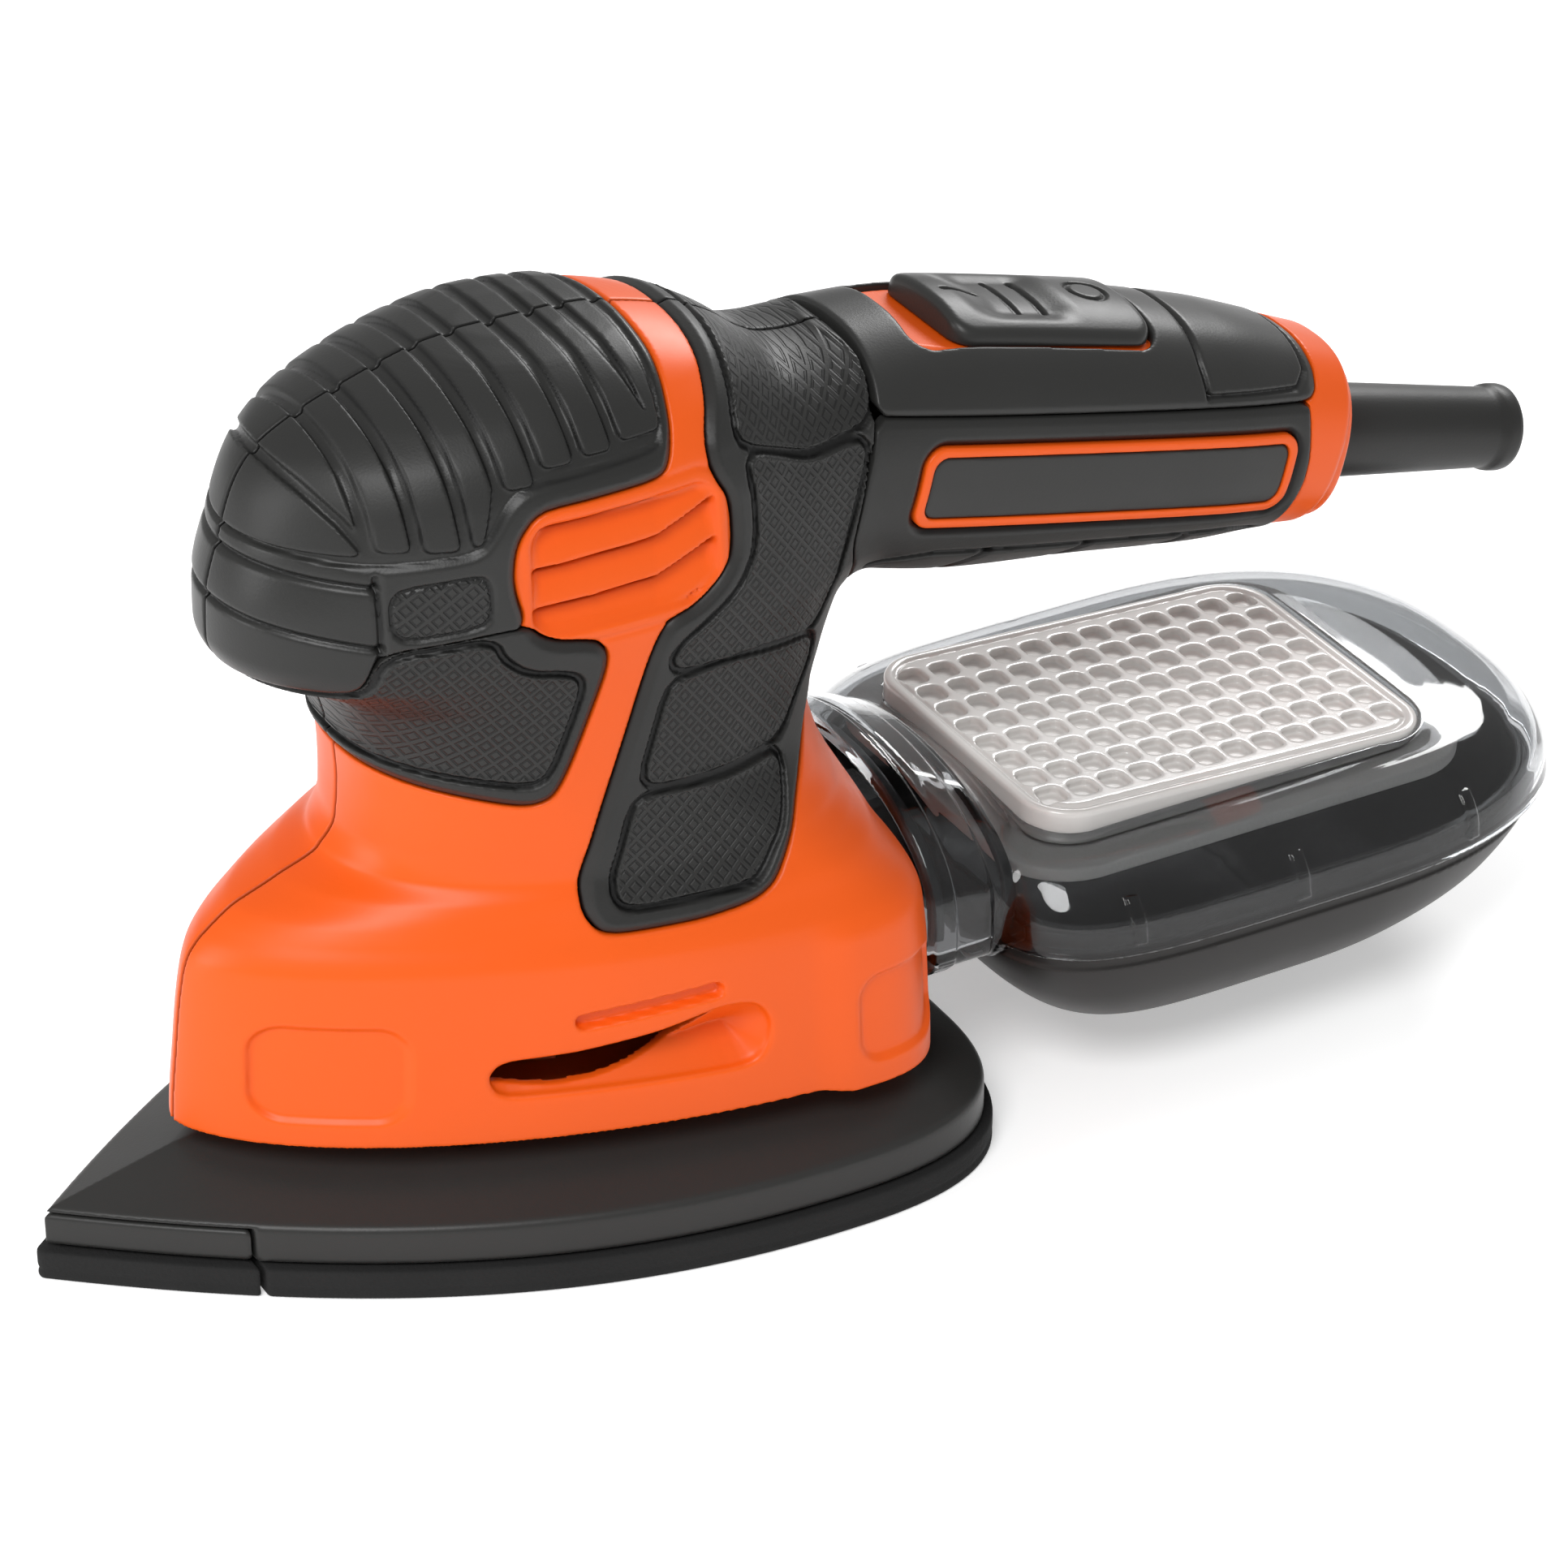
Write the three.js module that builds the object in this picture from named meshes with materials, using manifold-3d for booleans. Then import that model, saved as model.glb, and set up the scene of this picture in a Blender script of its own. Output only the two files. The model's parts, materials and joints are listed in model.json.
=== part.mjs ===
// A palm detail sander: clamshell with rubber grips, universal motor, orbiting platen, dust box.
// Millimetres, +Z up. The origin is on the sanding face, under the motor shaft.
// +X points back along the handle, the tip of the platen points to -X, the left side is -Y.
import * as THREE from "three";
import { mergeVertices } from "three/addons/utils/BufferGeometryUtils.js";
import Module from "manifold-3d";

const wasm = await Module();
wasm.setup();

// ---- clearances ----
const TOUCH = 0.3; // between two pieces that meet
const SLIDE = 0.4; // each side, between a sliding piece and its guide
const SPLIT = 0.15; // from the centre plane to each half of the casing

// ---- casing ----
const WALL = 3.4; // orange shell and grip together
const GRIP_THICK = 1.2;
const SKIRT_FRONT = -57.2;
const SKIRT_BACK = 51;
const SKIRT_WIDTH = 79.4;
const SKIRT_BOTTOM = 19;
const HEAD_WIDTH = 57;
const NOSE_FRONT = -47.6;
const HEAD_TOP = 134.8;
const BODY_SIDES = 28;

// ---- handle, in its own frame: along its axis, and up from it ----
const HANDLE_START = new THREE.Vector3(66, 0, 100.2);
const HANDLE_TILT = THREE.MathUtils.degToRad(13.5);
const HANDLE_WIDTH = 39;
const HANDLE_REACH = 70;
const HANDLE_SIDES = 20;
const COVER_EDGE = 9.2;
const COVER_FRONT = -20.2;
const COLLAR_LENGTH = 6.5;
const BADGE_LENGTH = 68;
const BADGE_HEIGHT = 12.8;
const BADGE_MIDDLE = new THREE.Vector2(23, -1.3);

// ---- switch ----
const SLIDER_LENGTH = 36.4;
const SLIDER_WIDTH = 22;
const SLIDER_TRAVEL = 6;
const SLIDER_BACK = 31.4;
const SLIDER_PROUD = 0.7; // the button follows the handle's crown, this far above it
const PAN_TOP = 16.8;
const PAN_THICK = 2;
const STEM_BACK = 16;
const STEM_LENGTH = 6;
const STEM_WIDTH = 5.2;
const SWITCH_LENGTH = 24;
const SWITCH_BACK = 26;

// ---- cord sleeve ----
const SLEEVE_END = 108.5;
const SLEEVE_RADIUS = 7.4;
const SLEEVE_TIP_RADIUS = 6.2;
const SLEEVE_DROP = -1.5;
const CORD_BORE = 3.2;

// ---- motor ----
const SHAFT_RADIUS = 3;
const SHAFT_BOTTOM = 24.5;
const SHAFT_TOP = 123;
const STATOR_RADIUS = 22.5;
const STATOR_BOTTOM = 64;
const STACK_HEIGHT = 30;
const ARMATURE_RADIUS = 13.3;
const AIR_GAP = 0.7;
const COMMUTATOR_RADIUS = 8.5;
const COMMUTATOR_HEIGHT = 11;
const BRUSH_LENGTH = 9;
const BRUSH_WIDTH = 4.6;
const BRUSH_HEIGHT = 6.6;
const BEARING_HEIGHT = 6;
const UPPER_BEARING_RADIUS = 8;
const LOWER_BEARING_RADIUS = 9.5;

// ---- fan and eccentric ----
const FAN_RADIUS = 26;
const FAN_BOTTOM = 33.6;
const FAN_BLADES = 12;
const ORBIT = 0.8; // distance of the eccentric pin from the shaft
const PIN_RADIUS = 3.85;
const WEIGHT_RADIUS = 20;
const PLATEN_BEARING_RADIUS = 11;
const PLATEN_BEARING_HEIGHT = 7;
const PLATEN_BEARING_BOTTOM = 15.3;

// ---- platen and pad ----
const PAD_THICK = 4.8;
const PAD_EDGE = 1.5; // the pad stands out this far past the platen
const PLATEN_FRONT = -77.8;
const PLATEN_BACK = 61;
const PLATEN_WIDTH = 92;
const PLATEN_EDGE_TOP = 11;
const PLATEN_TOP = 16.5;
const PLATEN_SLOPE = 14;
const TIP_SPLIT = -53;
const DUST_HOLE_RADIUS = 4;
const LEG_RADIUS = 4;
const LEG_TOP = 46.4;
const LEG_CLEARANCE = 7; // from the fan's rim to the middle of a leg
const LEG_CIRCLE = FAN_RADIUS + LEG_CLEARANCE;
const LEG_PLACES = [
  [-LEG_CIRCLE, 0],
  [LEG_CIRCLE + 4, 22],
  [LEG_CIRCLE + 4, -22],
];

// ---- fan baffle ----
const BAFFLE_BOTTOM = 47;
const BAFFLE_THICK = 2;

// ---- dust port and dust box ----
const PORT_WIDTH = 54;
const PORT_BOTTOM = 26.5;
const PORT_TOP = 50;
const PORT_SHOULDER = 34.5;
const PORT_END = 57;
const PORT_WALL = 2;
const BOX_FRONT = 62;
const BOX_BACK = 171;
const BOX_WIDTH = 87;
const BOX_SPLIT = 28;
const BOX_TOP = 42;
const BOX_BOTTOM = 7.6;
const BOX_WALL = 1.8;
const SPOUT_FRONT = 52;
const PANEL_TILT = THREE.MathUtils.degToRad(2.9);
const PANEL_LENGTH = 70;
const PANEL_WIDTH = 54;
const PANEL_RISE = 1.5;
const PANEL_MIDDLE = 108;
const FILTER_ENDS = 32; // room before and behind the filter, together
const FILTER_SIDES = 29; // room beside the filter, together
const FILTER_LENGTH = BOX_BACK - BOX_FRONT - FILTER_ENDS;
const FILTER_WIDTH = BOX_WIDTH - FILTER_SIDES;
const FILTER_TOP = 38.8;

// ---- materials ----
const paint = (color, roughness, metalness = 0) =>
  new THREE.MeshStandardMaterial({ color, roughness, metalness });
const orange = paint(0xf4661e, 0.45);
const rubber = paint(0x3b3b3a, 0.75);
const plastic = paint(0x454544, 0.5);
const darkPlastic = paint(0x33312e, 0.55);
const foam = paint(0x3a3a39, 0.9);
const clear = paint(0xb9bcbd, 0.1);
const paper = paint(0xd8d5d0, 0.9);
const steel = paint(0x9a9da0, 0.35, 1);
const iron = paint(0x55585c, 0.5, 1);
const copper = paint(0xb06a3a, 0.4, 1);
const carbon = paint(0x26262a, 0.6);
const brass = paint(0xb8964a, 0.35, 1);
const nylon = paint(0x1f1f20, 0.5);

// ---- shapes as solids ----
function solid(geometry) {
  const bare = geometry.index ? geometry.toNonIndexed() : geometry.clone();
  bare.deleteAttribute("normal");
  bare.deleteAttribute("uv");
  const merged = mergeVertices(bare, 1e-4);
  const triVerts = new Uint32Array(merged.index.array);
  const vertProperties = merged.attributes.position.array;
  return new wasm.Manifold(new wasm.Mesh({ numProp: 3, vertProperties, triVerts }));
}

const group = new THREE.Group();

function piece(name, body, material) {
  const made = body.getMesh();
  const geometry = new THREE.BufferGeometry();
  geometry.setAttribute("position", new THREE.BufferAttribute(made.vertProperties, 3));
  geometry.setIndex(new THREE.BufferAttribute(made.triVerts, 1));
  geometry.computeVertexNormals();
  const mesh = new THREE.Mesh(geometry, material);
  mesh.name = name;
  group.add(mesh);
}

const point = (x, y, z) => new THREE.Vector3(x, y, z);

function boxGeometry([x0, x1], [y0, y1], [z0, z1]) {
  const geometry = new THREE.BoxGeometry(x1 - x0, y1 - y0, z1 - z0);
  return geometry.translate((x0 + x1) / 2, (y0 + y1) / 2, (z0 + z1) / 2);
}

const box = (xs, ys, zs) => solid(boxGeometry(xs, ys, zs));

// A round bar parallel to Z.
function rod(radius, z0, z1, x = 0, y = 0, sides = 20) {
  const geometry = new THREE.CylinderGeometry(radius, radius, z1 - z0, sides);
  return solid(geometry.rotateX(Math.PI / 2).translate(x, y, (z0 + z1) / 2));
}

// A round bar parallel to Y.
function crossRod(radius, y0, y1, x, z, sides = 16) {
  const geometry = new THREE.CylinderGeometry(radius, radius, y1 - y0, sides);
  return solid(geometry.translate(x, (y0 + y1) / 2, z));
}

// A ring, or a stepped turned piece, from a closed profile of [radius, height].
function turned(profile, sides = 20) {
  const points = [...profile, profile[0]].map(([r, z]) => new THREE.Vector2(r, z));
  return solid(new THREE.LatheGeometry(points, sides).rotateX(Math.PI / 2));
}

const ring = (inner, outer, z0, z1, sides = 24) =>
  turned([[inner, z0], [outer, z0], [outer, z1], [inner, z1]], sides);

// A flat shape in X and Y, raised from z0 to z1.
function raised(shape, z0, z1, steps = 8) {
  const options = { depth: z1 - z0, bevelEnabled: false, curveSegments: steps };
  return solid(new THREE.ExtrudeGeometry(shape, options).translate(0, 0, z0));
}

// A side-view shape in X and Z, carried across from y0 to y1.
function across(points, y0, y1) {
  const shape = new THREE.Shape(points.map(([x, z]) => new THREE.Vector2(x, z)));
  const geometry = new THREE.ExtrudeGeometry(shape, { depth: y1 - y0, bevelEnabled: false });
  return solid(geometry.rotateX(Math.PI / 2).translate(0, y1, 0));
}

// A piece of a ring between two angles.
function sector(inner, outer, from, to, z0, z1) {
  const shape = new THREE.Shape();
  shape.absarc(0, 0, outer, from, to, false);
  shape.absarc(0, 0, inner, to, from, true);
  return raised(shape, z0, z1, 5);
}

function roundedRectangle(x0, x1, y0, y1, r) {
  const shape = new THREE.Shape();
  shape.moveTo(x0 + r, y0);
  shape.absarc(x1 - r, y0 + r, r, -Math.PI / 2, 0, false);
  shape.absarc(x1 - r, y1 - r, r, 0, Math.PI / 2, false);
  shape.absarc(x0 + r, y1 - r, r, Math.PI / 2, Math.PI, false);
  shape.absarc(x0 + r, y0 + r, r, Math.PI, 1.5 * Math.PI, false);
  return shape;
}

// A closed skin over a stack of rings, each a function from an angle to a point.
// With an inset, every point moves that far in along the skin's own normal.
function loft(rings, sides, inset = 0) {
  const rows = rings.length - 1;
  const angles = Array.from({ length: sides }, (_, j) => (2 * Math.PI * j) / sides);
  const grid = rings.map((at) => angles.map((angle) => at(angle)));
  const geometry = new THREE.CylinderGeometry(1, 1, rows, sides, rows);
  const places = geometry.getAttribute("position");
  for (let i = 0; i < places.count; i++) {
    const x = places.getX(i);
    const z = places.getZ(i);
    const row = Math.round(places.getY(i) + rows / 2);
    const turn = Math.atan2(x, z) / (2 * Math.PI);
    const column = (Math.round(turn * sides) + sides) % sides;
    const isRim = Math.hypot(x, z) > 0.5;
    const target = isRim ? insetPoint(grid, row, column, inset) : middle(grid[row]);
    places.setXYZ(i, target.x, target.y, target.z);
  }
  return solid(geometry);
}

function middle(points) {
  const sum = points.reduce((total, p) => total.add(p), point(0, 0, 0));
  return sum.divideScalar(points.length);
}

function insetPoint(grid, row, column, inset) {
  const here = grid[row][column].clone();
  if (inset === 0) return here;
  const sides = grid[row].length;
  const above = grid[Math.min(row + 1, grid.length - 1)][column];
  const below = grid[Math.max(row - 1, 0)][column];
  const next = grid[row][(column + 1) % sides];
  const last = grid[row][(column + sides - 1) % sides];
  const normal = next.clone().sub(last).cross(above.clone().sub(below)).normalize();
  return here.addScaledVector(normal, -inset);
}

const power = (value, exponent) => Math.sign(value) * Math.abs(value) ** exponent;

// A level ring that is longer and more pointed in front than behind.
function level({ z, front, back, half, widest, sharp, square }) {
  return (angle) => {
    const c = Math.cos(angle);
    const s = Math.sin(angle);
    const length = c >= 0 ? back - widest : widest - front;
    const bend = 2 / (c >= 0 ? square : sharp);
    return point(widest + length * power(c, bend), half * power(s, bend), z);
  };
}

// ---- the casing's outer form ----
// Height, front, back, half width, where it is widest, and the ring's front and back exponents.
const BODY_LEVELS = [
  [SKIRT_BOTTOM, 0, 0, 1, 32, 1.6, 4],
  [44, 3, 0, 0.952, 31, 1.6, 3.6],
  [49, 5.2, 0.8, 0.914, 30, 1.65, 3],
  [53, 9.7, 2, 0.871, 29, 1.7, 2.5],
  [59, 24.2, 4.5, 0.786, 25, 2, 2],
  [63, 26.8, 6, 0.751, 20, 2.2, 2],
].map(([z, forward, back, width, widest, sharp, square]) => ({
  z,
  front: SKIRT_FRONT + forward,
  back: SKIRT_BACK - back,
  half: (SKIRT_WIDTH / 2) * width,
  widest,
  sharp,
  square,
}));
const HEAD_LEVELS = [
  [70, 17.8, 44, 0.99, 12, 2.3, 2],
  [78, 17.1, 46, 0.975, 8, 2.3, 2.1],
  [86, 14.6, 49, 0.975, 6, 2.3, 2.2],
  [90, 7.6, 51, 0.98, 5, 2.2, 2.3],
  [93, 1.6, 52, 0.99, 4, 2.1, 2.4],
  [97, 0, 52, 1, 3, 2.1, 2.4],
  [112, 2.6, 46, 0.995, 0, 2, 2.4],
  [119, 5, 41, 0.96, -1, 1.95, 2.3],
  [124, 8.6, 36, 0.89, -2, 1.9, 2.3],
  [128, 15.6, 31, 0.79, -2, 1.85, 2.2],
  [133.3, 32, 16.5, 0.5, -1, 1.8, 2],
  [HEAD_TOP - 0.2, 41.5, 8, 0.26, 0, 2, 2],
].map(([z, behind, back, width, widest, sharp, square]) => ({
  z,
  front: NOSE_FRONT + behind,
  back,
  half: (HEAD_WIDTH / 2) * width,
  widest,
  sharp,
  square,
}));

function body(inset, sides = BODY_SIDES, skip = 1) {
  const levels = [...BODY_LEVELS, ...HEAD_LEVELS].filter((_, i) => i % skip === 0);
  const lowest = { ...levels[0], z: SKIRT_BOTTOM - WALL };
  return loft([...(inset > 0 ? [lowest] : []), ...levels].map(level), sides, inset);
}

// Place along the handle's axis, top, bottom and half width there.
const HANDLE_STATIONS = [
  [-46, 12, 14, 1.02],
  [-33, 14.5, 16, 1.04],
  [-20, 18, 18.5, 1.02],
  [0, 21, 19.8, 1],
  [24, 20.6, 18, 0.965],
  [45, 19, 16.7, 0.912],
  [58, 16.8, 15, 0.84],
  [HANDLE_REACH - 2, 15.2, 14.6, 0.79],
  [HANDLE_REACH, 13, 13, 0.69],
];

function station([along, top, bottom, width]) {
  return (angle) => {
    const s = Math.sin(angle);
    const side = (HANDLE_WIDTH / 2) * width * power(Math.cos(angle), 0.84);
    return point(along, side, (s >= 0 ? top : bottom) * power(s, 0.84));
  };
}

function onHandle(geometry) {
  return geometry.rotateY(HANDLE_TILT).translate(...HANDLE_START.toArray());
}

const handleMatrix = new THREE.Matrix4()
  .makeTranslation(...HANDLE_START.toArray())
  .multiply(new THREE.Matrix4().makeRotationY(HANDLE_TILT));
const placeOnHandle = (made) => made.transform(handleMatrix.toArray());
const handleBox = (xs, ys, zs) => solid(onHandle(boxGeometry(xs, ys, zs)));

function handle(inset, sides = HANDLE_SIDES) {
  return placeOnHandle(loft(HANDLE_STATIONS.map(station), sides, inset));
}

const casing = (inset) => body(inset).add(handle(inset));
// The hollow inside is a plainer form than the outside.
const hollow = (inset) => body(inset, 18, 2).add(handle(inset, 14));

// ---- side-view outlines of the grips ----
const NOSE = [
  [-60, 93.2],
  [-33.5, 93.2],
  [-31, 100],
  [-16, 101.5],
  [-11.5, 101.5],
  [-13.2, 108],
  [-12.5, 114],
  [-9, 118],
  [10, 118.3],
  [12, 121],
  [14, 128],
  [17.8, 140],
  [-60, 140],
];
const FRONT_GRIP = [
  [-60, 76.5],
  [-30, 75.2],
  [-20, 73.2],
  [-11, 71],
  [-7.5, 72],
  [-5.5, 75.5],
  [0.3, 91],
  [0.6, 94.5],
  [-1.5, 97],
  [-8.5, 98.5],
  [-11.5, 101.5],
  [-16, 101.5],
  [-31, 100],
  [-33.5, 93.2],
  [-60, 93.2],
];
const REAR_GRIP = [
  [-4.7, 54],
  [-3, 51],
  [0, 50.3],
  [12, 50.5],
  [20, 51.5],
  [24, 53.5],
  [31, 62.5],
  [38, 69],
  [60, 76],
  [46.5, 84],
  [43.5, 96],
  [48, 113.2],
  [50.2, 122.4],
  [52, 130],
  [35, 140],
  [28, 140],
  [21, 127],
  [17.6, 121],
  [18, 116.5],
  [20.6, 112],
  [20.6, 104],
  [18, 100.5],
  [14, 98],
  [10, 97],
  [8, 94.5],
  [3, 80],
  [-4.5, 58],
];
const COLLAR_FRONT = HANDLE_REACH - 2 - COLLAR_LENGTH;
const TOP_COVER = [
  [COVER_FRONT, COVER_EDGE],
  [COLLAR_FRONT - 2, COVER_EDGE],
  [COLLAR_FRONT, COVER_EDGE + 2],
  [COLLAR_FRONT, 40],
  [COVER_FRONT + 1, 40],
];
const HANDLE_GRIP = [
  [COVER_FRONT, COVER_EDGE],
  [COVER_FRONT - 2.2, -4],
  [COVER_FRONT - 1.3, -9],
  [COVER_FRONT + 4.7, -21],
  [COVER_FRONT + 8.2, -40],
  [COLLAR_FRONT - 2, -40],
  [COLLAR_FRONT, -10],
  [COLLAR_FRONT, COVER_EDGE + 2],
  [COLLAR_FRONT - 2, COVER_EDGE],
];

// The same outline with every edge moved in by a distance.
function shrunk(points, distance) {
  const corners = points.map(([x, z]) => new THREE.Vector2(x, z));
  const turn = Math.sign(THREE.ShapeUtils.area(corners));
  const inward = (a, b) => {
    const edge = b.clone().sub(a).normalize();
    return new THREE.Vector2(-edge.y, edge.x).multiplyScalar(turn);
  };
  return corners.map((corner, i) => {
    const before = inward(corners.at(i - 1), corner);
    const after = inward(corner, corners[(i + 1) % corners.length]);
    const both = before.clone().add(after);
    const moved = corner.clone().addScaledVector(both, (2 * distance) / both.lengthSq());
    return moved.toArray();
  });
}

const FAR = 70;
const flatSkin = (points, distance = 0) => across(shrunk(points, distance), -FAR, FAR);
const handleSkin = (points, distance = 0) => placeOnHandle(flatSkin(points, distance));

function badgeOutline(margin) {
  const [s, n] = BADGE_MIDDLE.toArray();
  const long = BADGE_LENGTH / 2 + margin;
  const tall = BADGE_HEIGHT / 2 + margin;
  const cut = 2.5;
  return [
    [s - long + cut, n - tall],
    [s + long - cut, n - tall],
    [s + long, n - tall + cut],
    [s + long, n + tall - cut],
    [s + long - cut, n + tall],
    [s - long + cut, n + tall],
    [s - long, n + tall - cut],
    [s - long, n - tall + cut],
  ];
}

const halves = {
  left: box([-200, 300], [-FAR, -SPLIT], [-50, 250]),
  right: box([-200, 300], [SPLIT, FAR], [-50, 250]),
};

// ---- screws that hold the halves together: place, and how far out the head seats ----
const SCREW_RADIUS = 1.5;
const SCREW_HEAD_RADIUS = 3.1;
const SCREW_HEAD = 2.2;
const SCREW_DEPTH = 8;
const BOSS_RADIUS = 3.6;
const PILOT_CLEARANCE = 0.15;
const handlePlace = (s, n) => {
  const place = point(s, 0, n).applyMatrix4(handleMatrix);
  return [place.x, place.z];
};
const SCREWS = {
  skirt_front_screw: { place: [-46, 34], seat: 7.5 },
  neck_rear_screw: { place: [31, 62], seat: 17 },
  head_front_screw: { place: [-36, 105], seat: 11 },
  handle_front_screw: { place: handlePlace(-14, 10), seat: 9 },
  handle_rear_screw: { place: handlePlace(44, -8.5), seat: 8 },
};

function screw([x, z], seat) {
  const shank = crossRod(SCREW_RADIUS, -SCREW_DEPTH, seat + SCREW_HEAD, x, z, 12);
  const head = crossRod(SCREW_HEAD_RADIUS, seat + TOUCH, seat + TOUCH + SCREW_HEAD, x, z, 16);
  return shank.add(head);
}

function screwBore([x, z], seat) {
  const shank = crossRod(SCREW_RADIUS + PILOT_CLEARANCE, -SCREW_DEPTH - 0.5, seat + 1, x, z, 12);
  const head = crossRod(SCREW_HEAD_RADIUS + TOUCH, seat, FAR, x, z, 16);
  return shank.add(head);
}

const allBores = Object.values(SCREWS)
  .map(({ place, seat }) => screwBore(place, seat))
  .reduce((all, bore) => all.add(bore));

// ---- dust port: an arch with a flat bottom, and the spout that slides over it ----
const ARCH_SIDES = 28;

function archRing(x, margin, top = PORT_TOP) {
  const half = PORT_WIDTH / 2 + margin;
  const rise = top + margin - PORT_SHOULDER;
  const drop = PORT_SHOULDER - PORT_BOTTOM + margin;
  return (angle) => {
    const s = Math.sin(angle);
    const bend = s >= 0 ? 1 : 0.3;
    const height = (s >= 0 ? rise : drop) * power(s, bend);
    return point(x, half * power(Math.cos(angle), bend), PORT_SHOULDER + height);
  };
}

const arch = (margin, x0, x1) => loft([archRing(x0, margin), archRing(x1, margin)], ARCH_SIDES);

function spout(margin, front, end) {
  const rings = [
    archRing(front, margin),
    archRing(PORT_END + 1, margin),
    archRing(BOX_FRONT + 4, margin, PORT_TOP - 3),
    archRing(BOX_FRONT + 11, margin, BOX_TOP - 1.5),
    archRing(end, margin, BOX_TOP - 5),
  ];
  return loft(rings, ARCH_SIDES);
}

// ---- housing ----
const LEDGE = 2.6;
const LEDGE_BACK = 38;
const STATOR_BORE = STATOR_RADIUS + TOUCH;
const CUP_RADIUS = UPPER_BEARING_RADIUS + 2.6;

function ledge(z0, z1, hole) {
  const plate = body(WALL - 1, 18, 2).intersect(box([-90, LEDGE_BACK], [-FAR, FAR], [z0, z1]));
  return plate.subtract(hole);
}

const UPPER_BEARING_BOTTOM = SHAFT_TOP - BEARING_HEIGHT - 1;
const BRUSH_PLATE_BOTTOM = STATOR_BOTTOM + STACK_HEIGHT + 4.6;

function housing() {
  const grips = [flatSkin(NOSE), flatSkin(FRONT_GRIP), flatSkin(REAR_GRIP)];
  const skins = [...grips, handleSkin(TOP_COVER), handleSkin(HANDLE_GRIP)];
  const covered = skins.reduce((all, skin) => all.add(skin));
  const under = casing(GRIP_THICK + TOUCH);
  const cavity = hollow(WALL);
  let shell = casing(0).subtract(covered.subtract(under)).subtract(cavity);
  shell = shell.add(arch(0, SKIRT_BACK - WALL - 1, PORT_END));
  shell = shell.subtract(arch(-PORT_WALL, SKIRT_BACK - 14, PORT_END + 1));
  const panEnds = [SLIDER_BACK - SLIDER_LENGTH - SLIDER_TRAVEL - 5, SLIDER_BACK + 4];
  const panSides = [-SLIDER_WIDTH / 2 - 3, SLIDER_WIDTH / 2 + 3];
  const pan = handleBox(panEnds, panSides, [PAN_TOP - PAN_THICK, PAN_TOP]);
  shell = shell.add(pan.intersect(hollow(WALL - 1)));
  shell = shell.subtract(sliderOpening(PAN_TOP, 30)).subtract(stemSlot());
  const portSide = box([SKIRT_BACK - 14, 60], [-FAR, FAR], [40, 60]);
  const baffleHole = body(WALL + 3.5, 18, 2).add(portSide);
  const statorHole = rod(STATOR_BORE, 50, 110);
  const cupHole = rod(CUP_RADIUS + TOUCH, 100, 130);
  const brushLedgeTop = BRUSH_PLATE_BOTTOM - TOUCH;
  const ledges = [
    ledge(BAFFLE_BOTTOM - 3, BAFFLE_BOTTOM - TOUCH, baffleHole),
    ledge(STATOR_BOTTOM + 2, STATOR_BOTTOM + 2 + LEDGE, statorHole),
    ledge(brushLedgeTop - LEDGE, brushLedgeTop, statorHole),
    ledge(UPPER_BEARING_BOTTOM + 1.5, UPPER_BEARING_BOTTOM + 4, cupHole),
  ];
  const bossed = Object.values(SCREWS).map(({ place }) =>
    crossRod(BOSS_RADIUS, -FAR, FAR, place[0], place[1]).intersect(hollow(WALL - 1)),
  );
  for (const part of [...ledges, ...bossed, ...clampPosts()]) shell = shell.add(part);
  return shell
    .subtract(allBores)
    .subtract(clampPilots())
    .subtract(sleeveOpening())
    .subtract(coolingSlots())
    .subtract(vents());
}

// The opening in the cover and the pocket that the slider runs in.
function sliderOpening(z0, z1) {
  const front = SLIDER_BACK - SLIDER_LENGTH - SLIDER_TRAVEL - TOUCH;
  const half = SLIDER_WIDTH / 2 + SLIDE;
  return handleBox([front, SLIDER_BACK + TOUCH], [-half, half], [z0, z1]);
}

function stemSlot() {
  const front = STEM_BACK - STEM_LENGTH - SLIDER_TRAVEL - SLIDE;
  const half = STEM_WIDTH / 2 + SLIDE;
  return handleBox([front, STEM_BACK + SLIDE], [-half, half], [PAN_TOP - PAN_THICK - 1, PAN_TOP + 1]);
}

// Slots low on each side of the skirt, and the louvred vents on the head.
function coolingSlots() {
  const slot = [
    [-18, 28.5],
    [-19.5, 31],
    [-17, 33.5],
    [0, 35],
    [14, 37],
    [19, 36],
    [20, 31.5],
    [16, 28.8],
  ];
  return across(slot, -FAR, FAR);
}

function vents() {
  const rows = [111.2, 106.2, 101.2];
  return rows
    .map((z) => across([[-10.5, z], [18.5, z - 1], [18.5, z + 1.8], [-10.5, z + 2.6]], -FAR, FAR))
    .reduce((all, row) => all.add(row));
}

function sleeveOpening() {
  const bore = new THREE.CylinderGeometry(SLEEVE_RADIUS + TOUCH, SLEEVE_RADIUS + TOUCH, 20, 28);
  bore.rotateZ(Math.PI / 2).translate(HANDLE_REACH, 0, SLEEVE_DROP);
  return solid(onHandle(bore));
}

// ---- cord clamp: a bar on two posts of the left half ----
const CLAMP_PLACE = 51;
const CLAMP_SPREAD = 7;
const POST_END = 3;
const POST_RADIUS = 2.6;
const CLAMP_BAR = 2.5;

function clampPosts() {
  return [-1, 1].map((side) => {
    const [x, z] = handlePlace(CLAMP_PLACE, side * CLAMP_SPREAD);
    const post = crossRod(POST_RADIUS, -FAR, -SPLIT, x, z, 16).intersect(hollow(WALL - 1));
    return post;
  });
}

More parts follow.
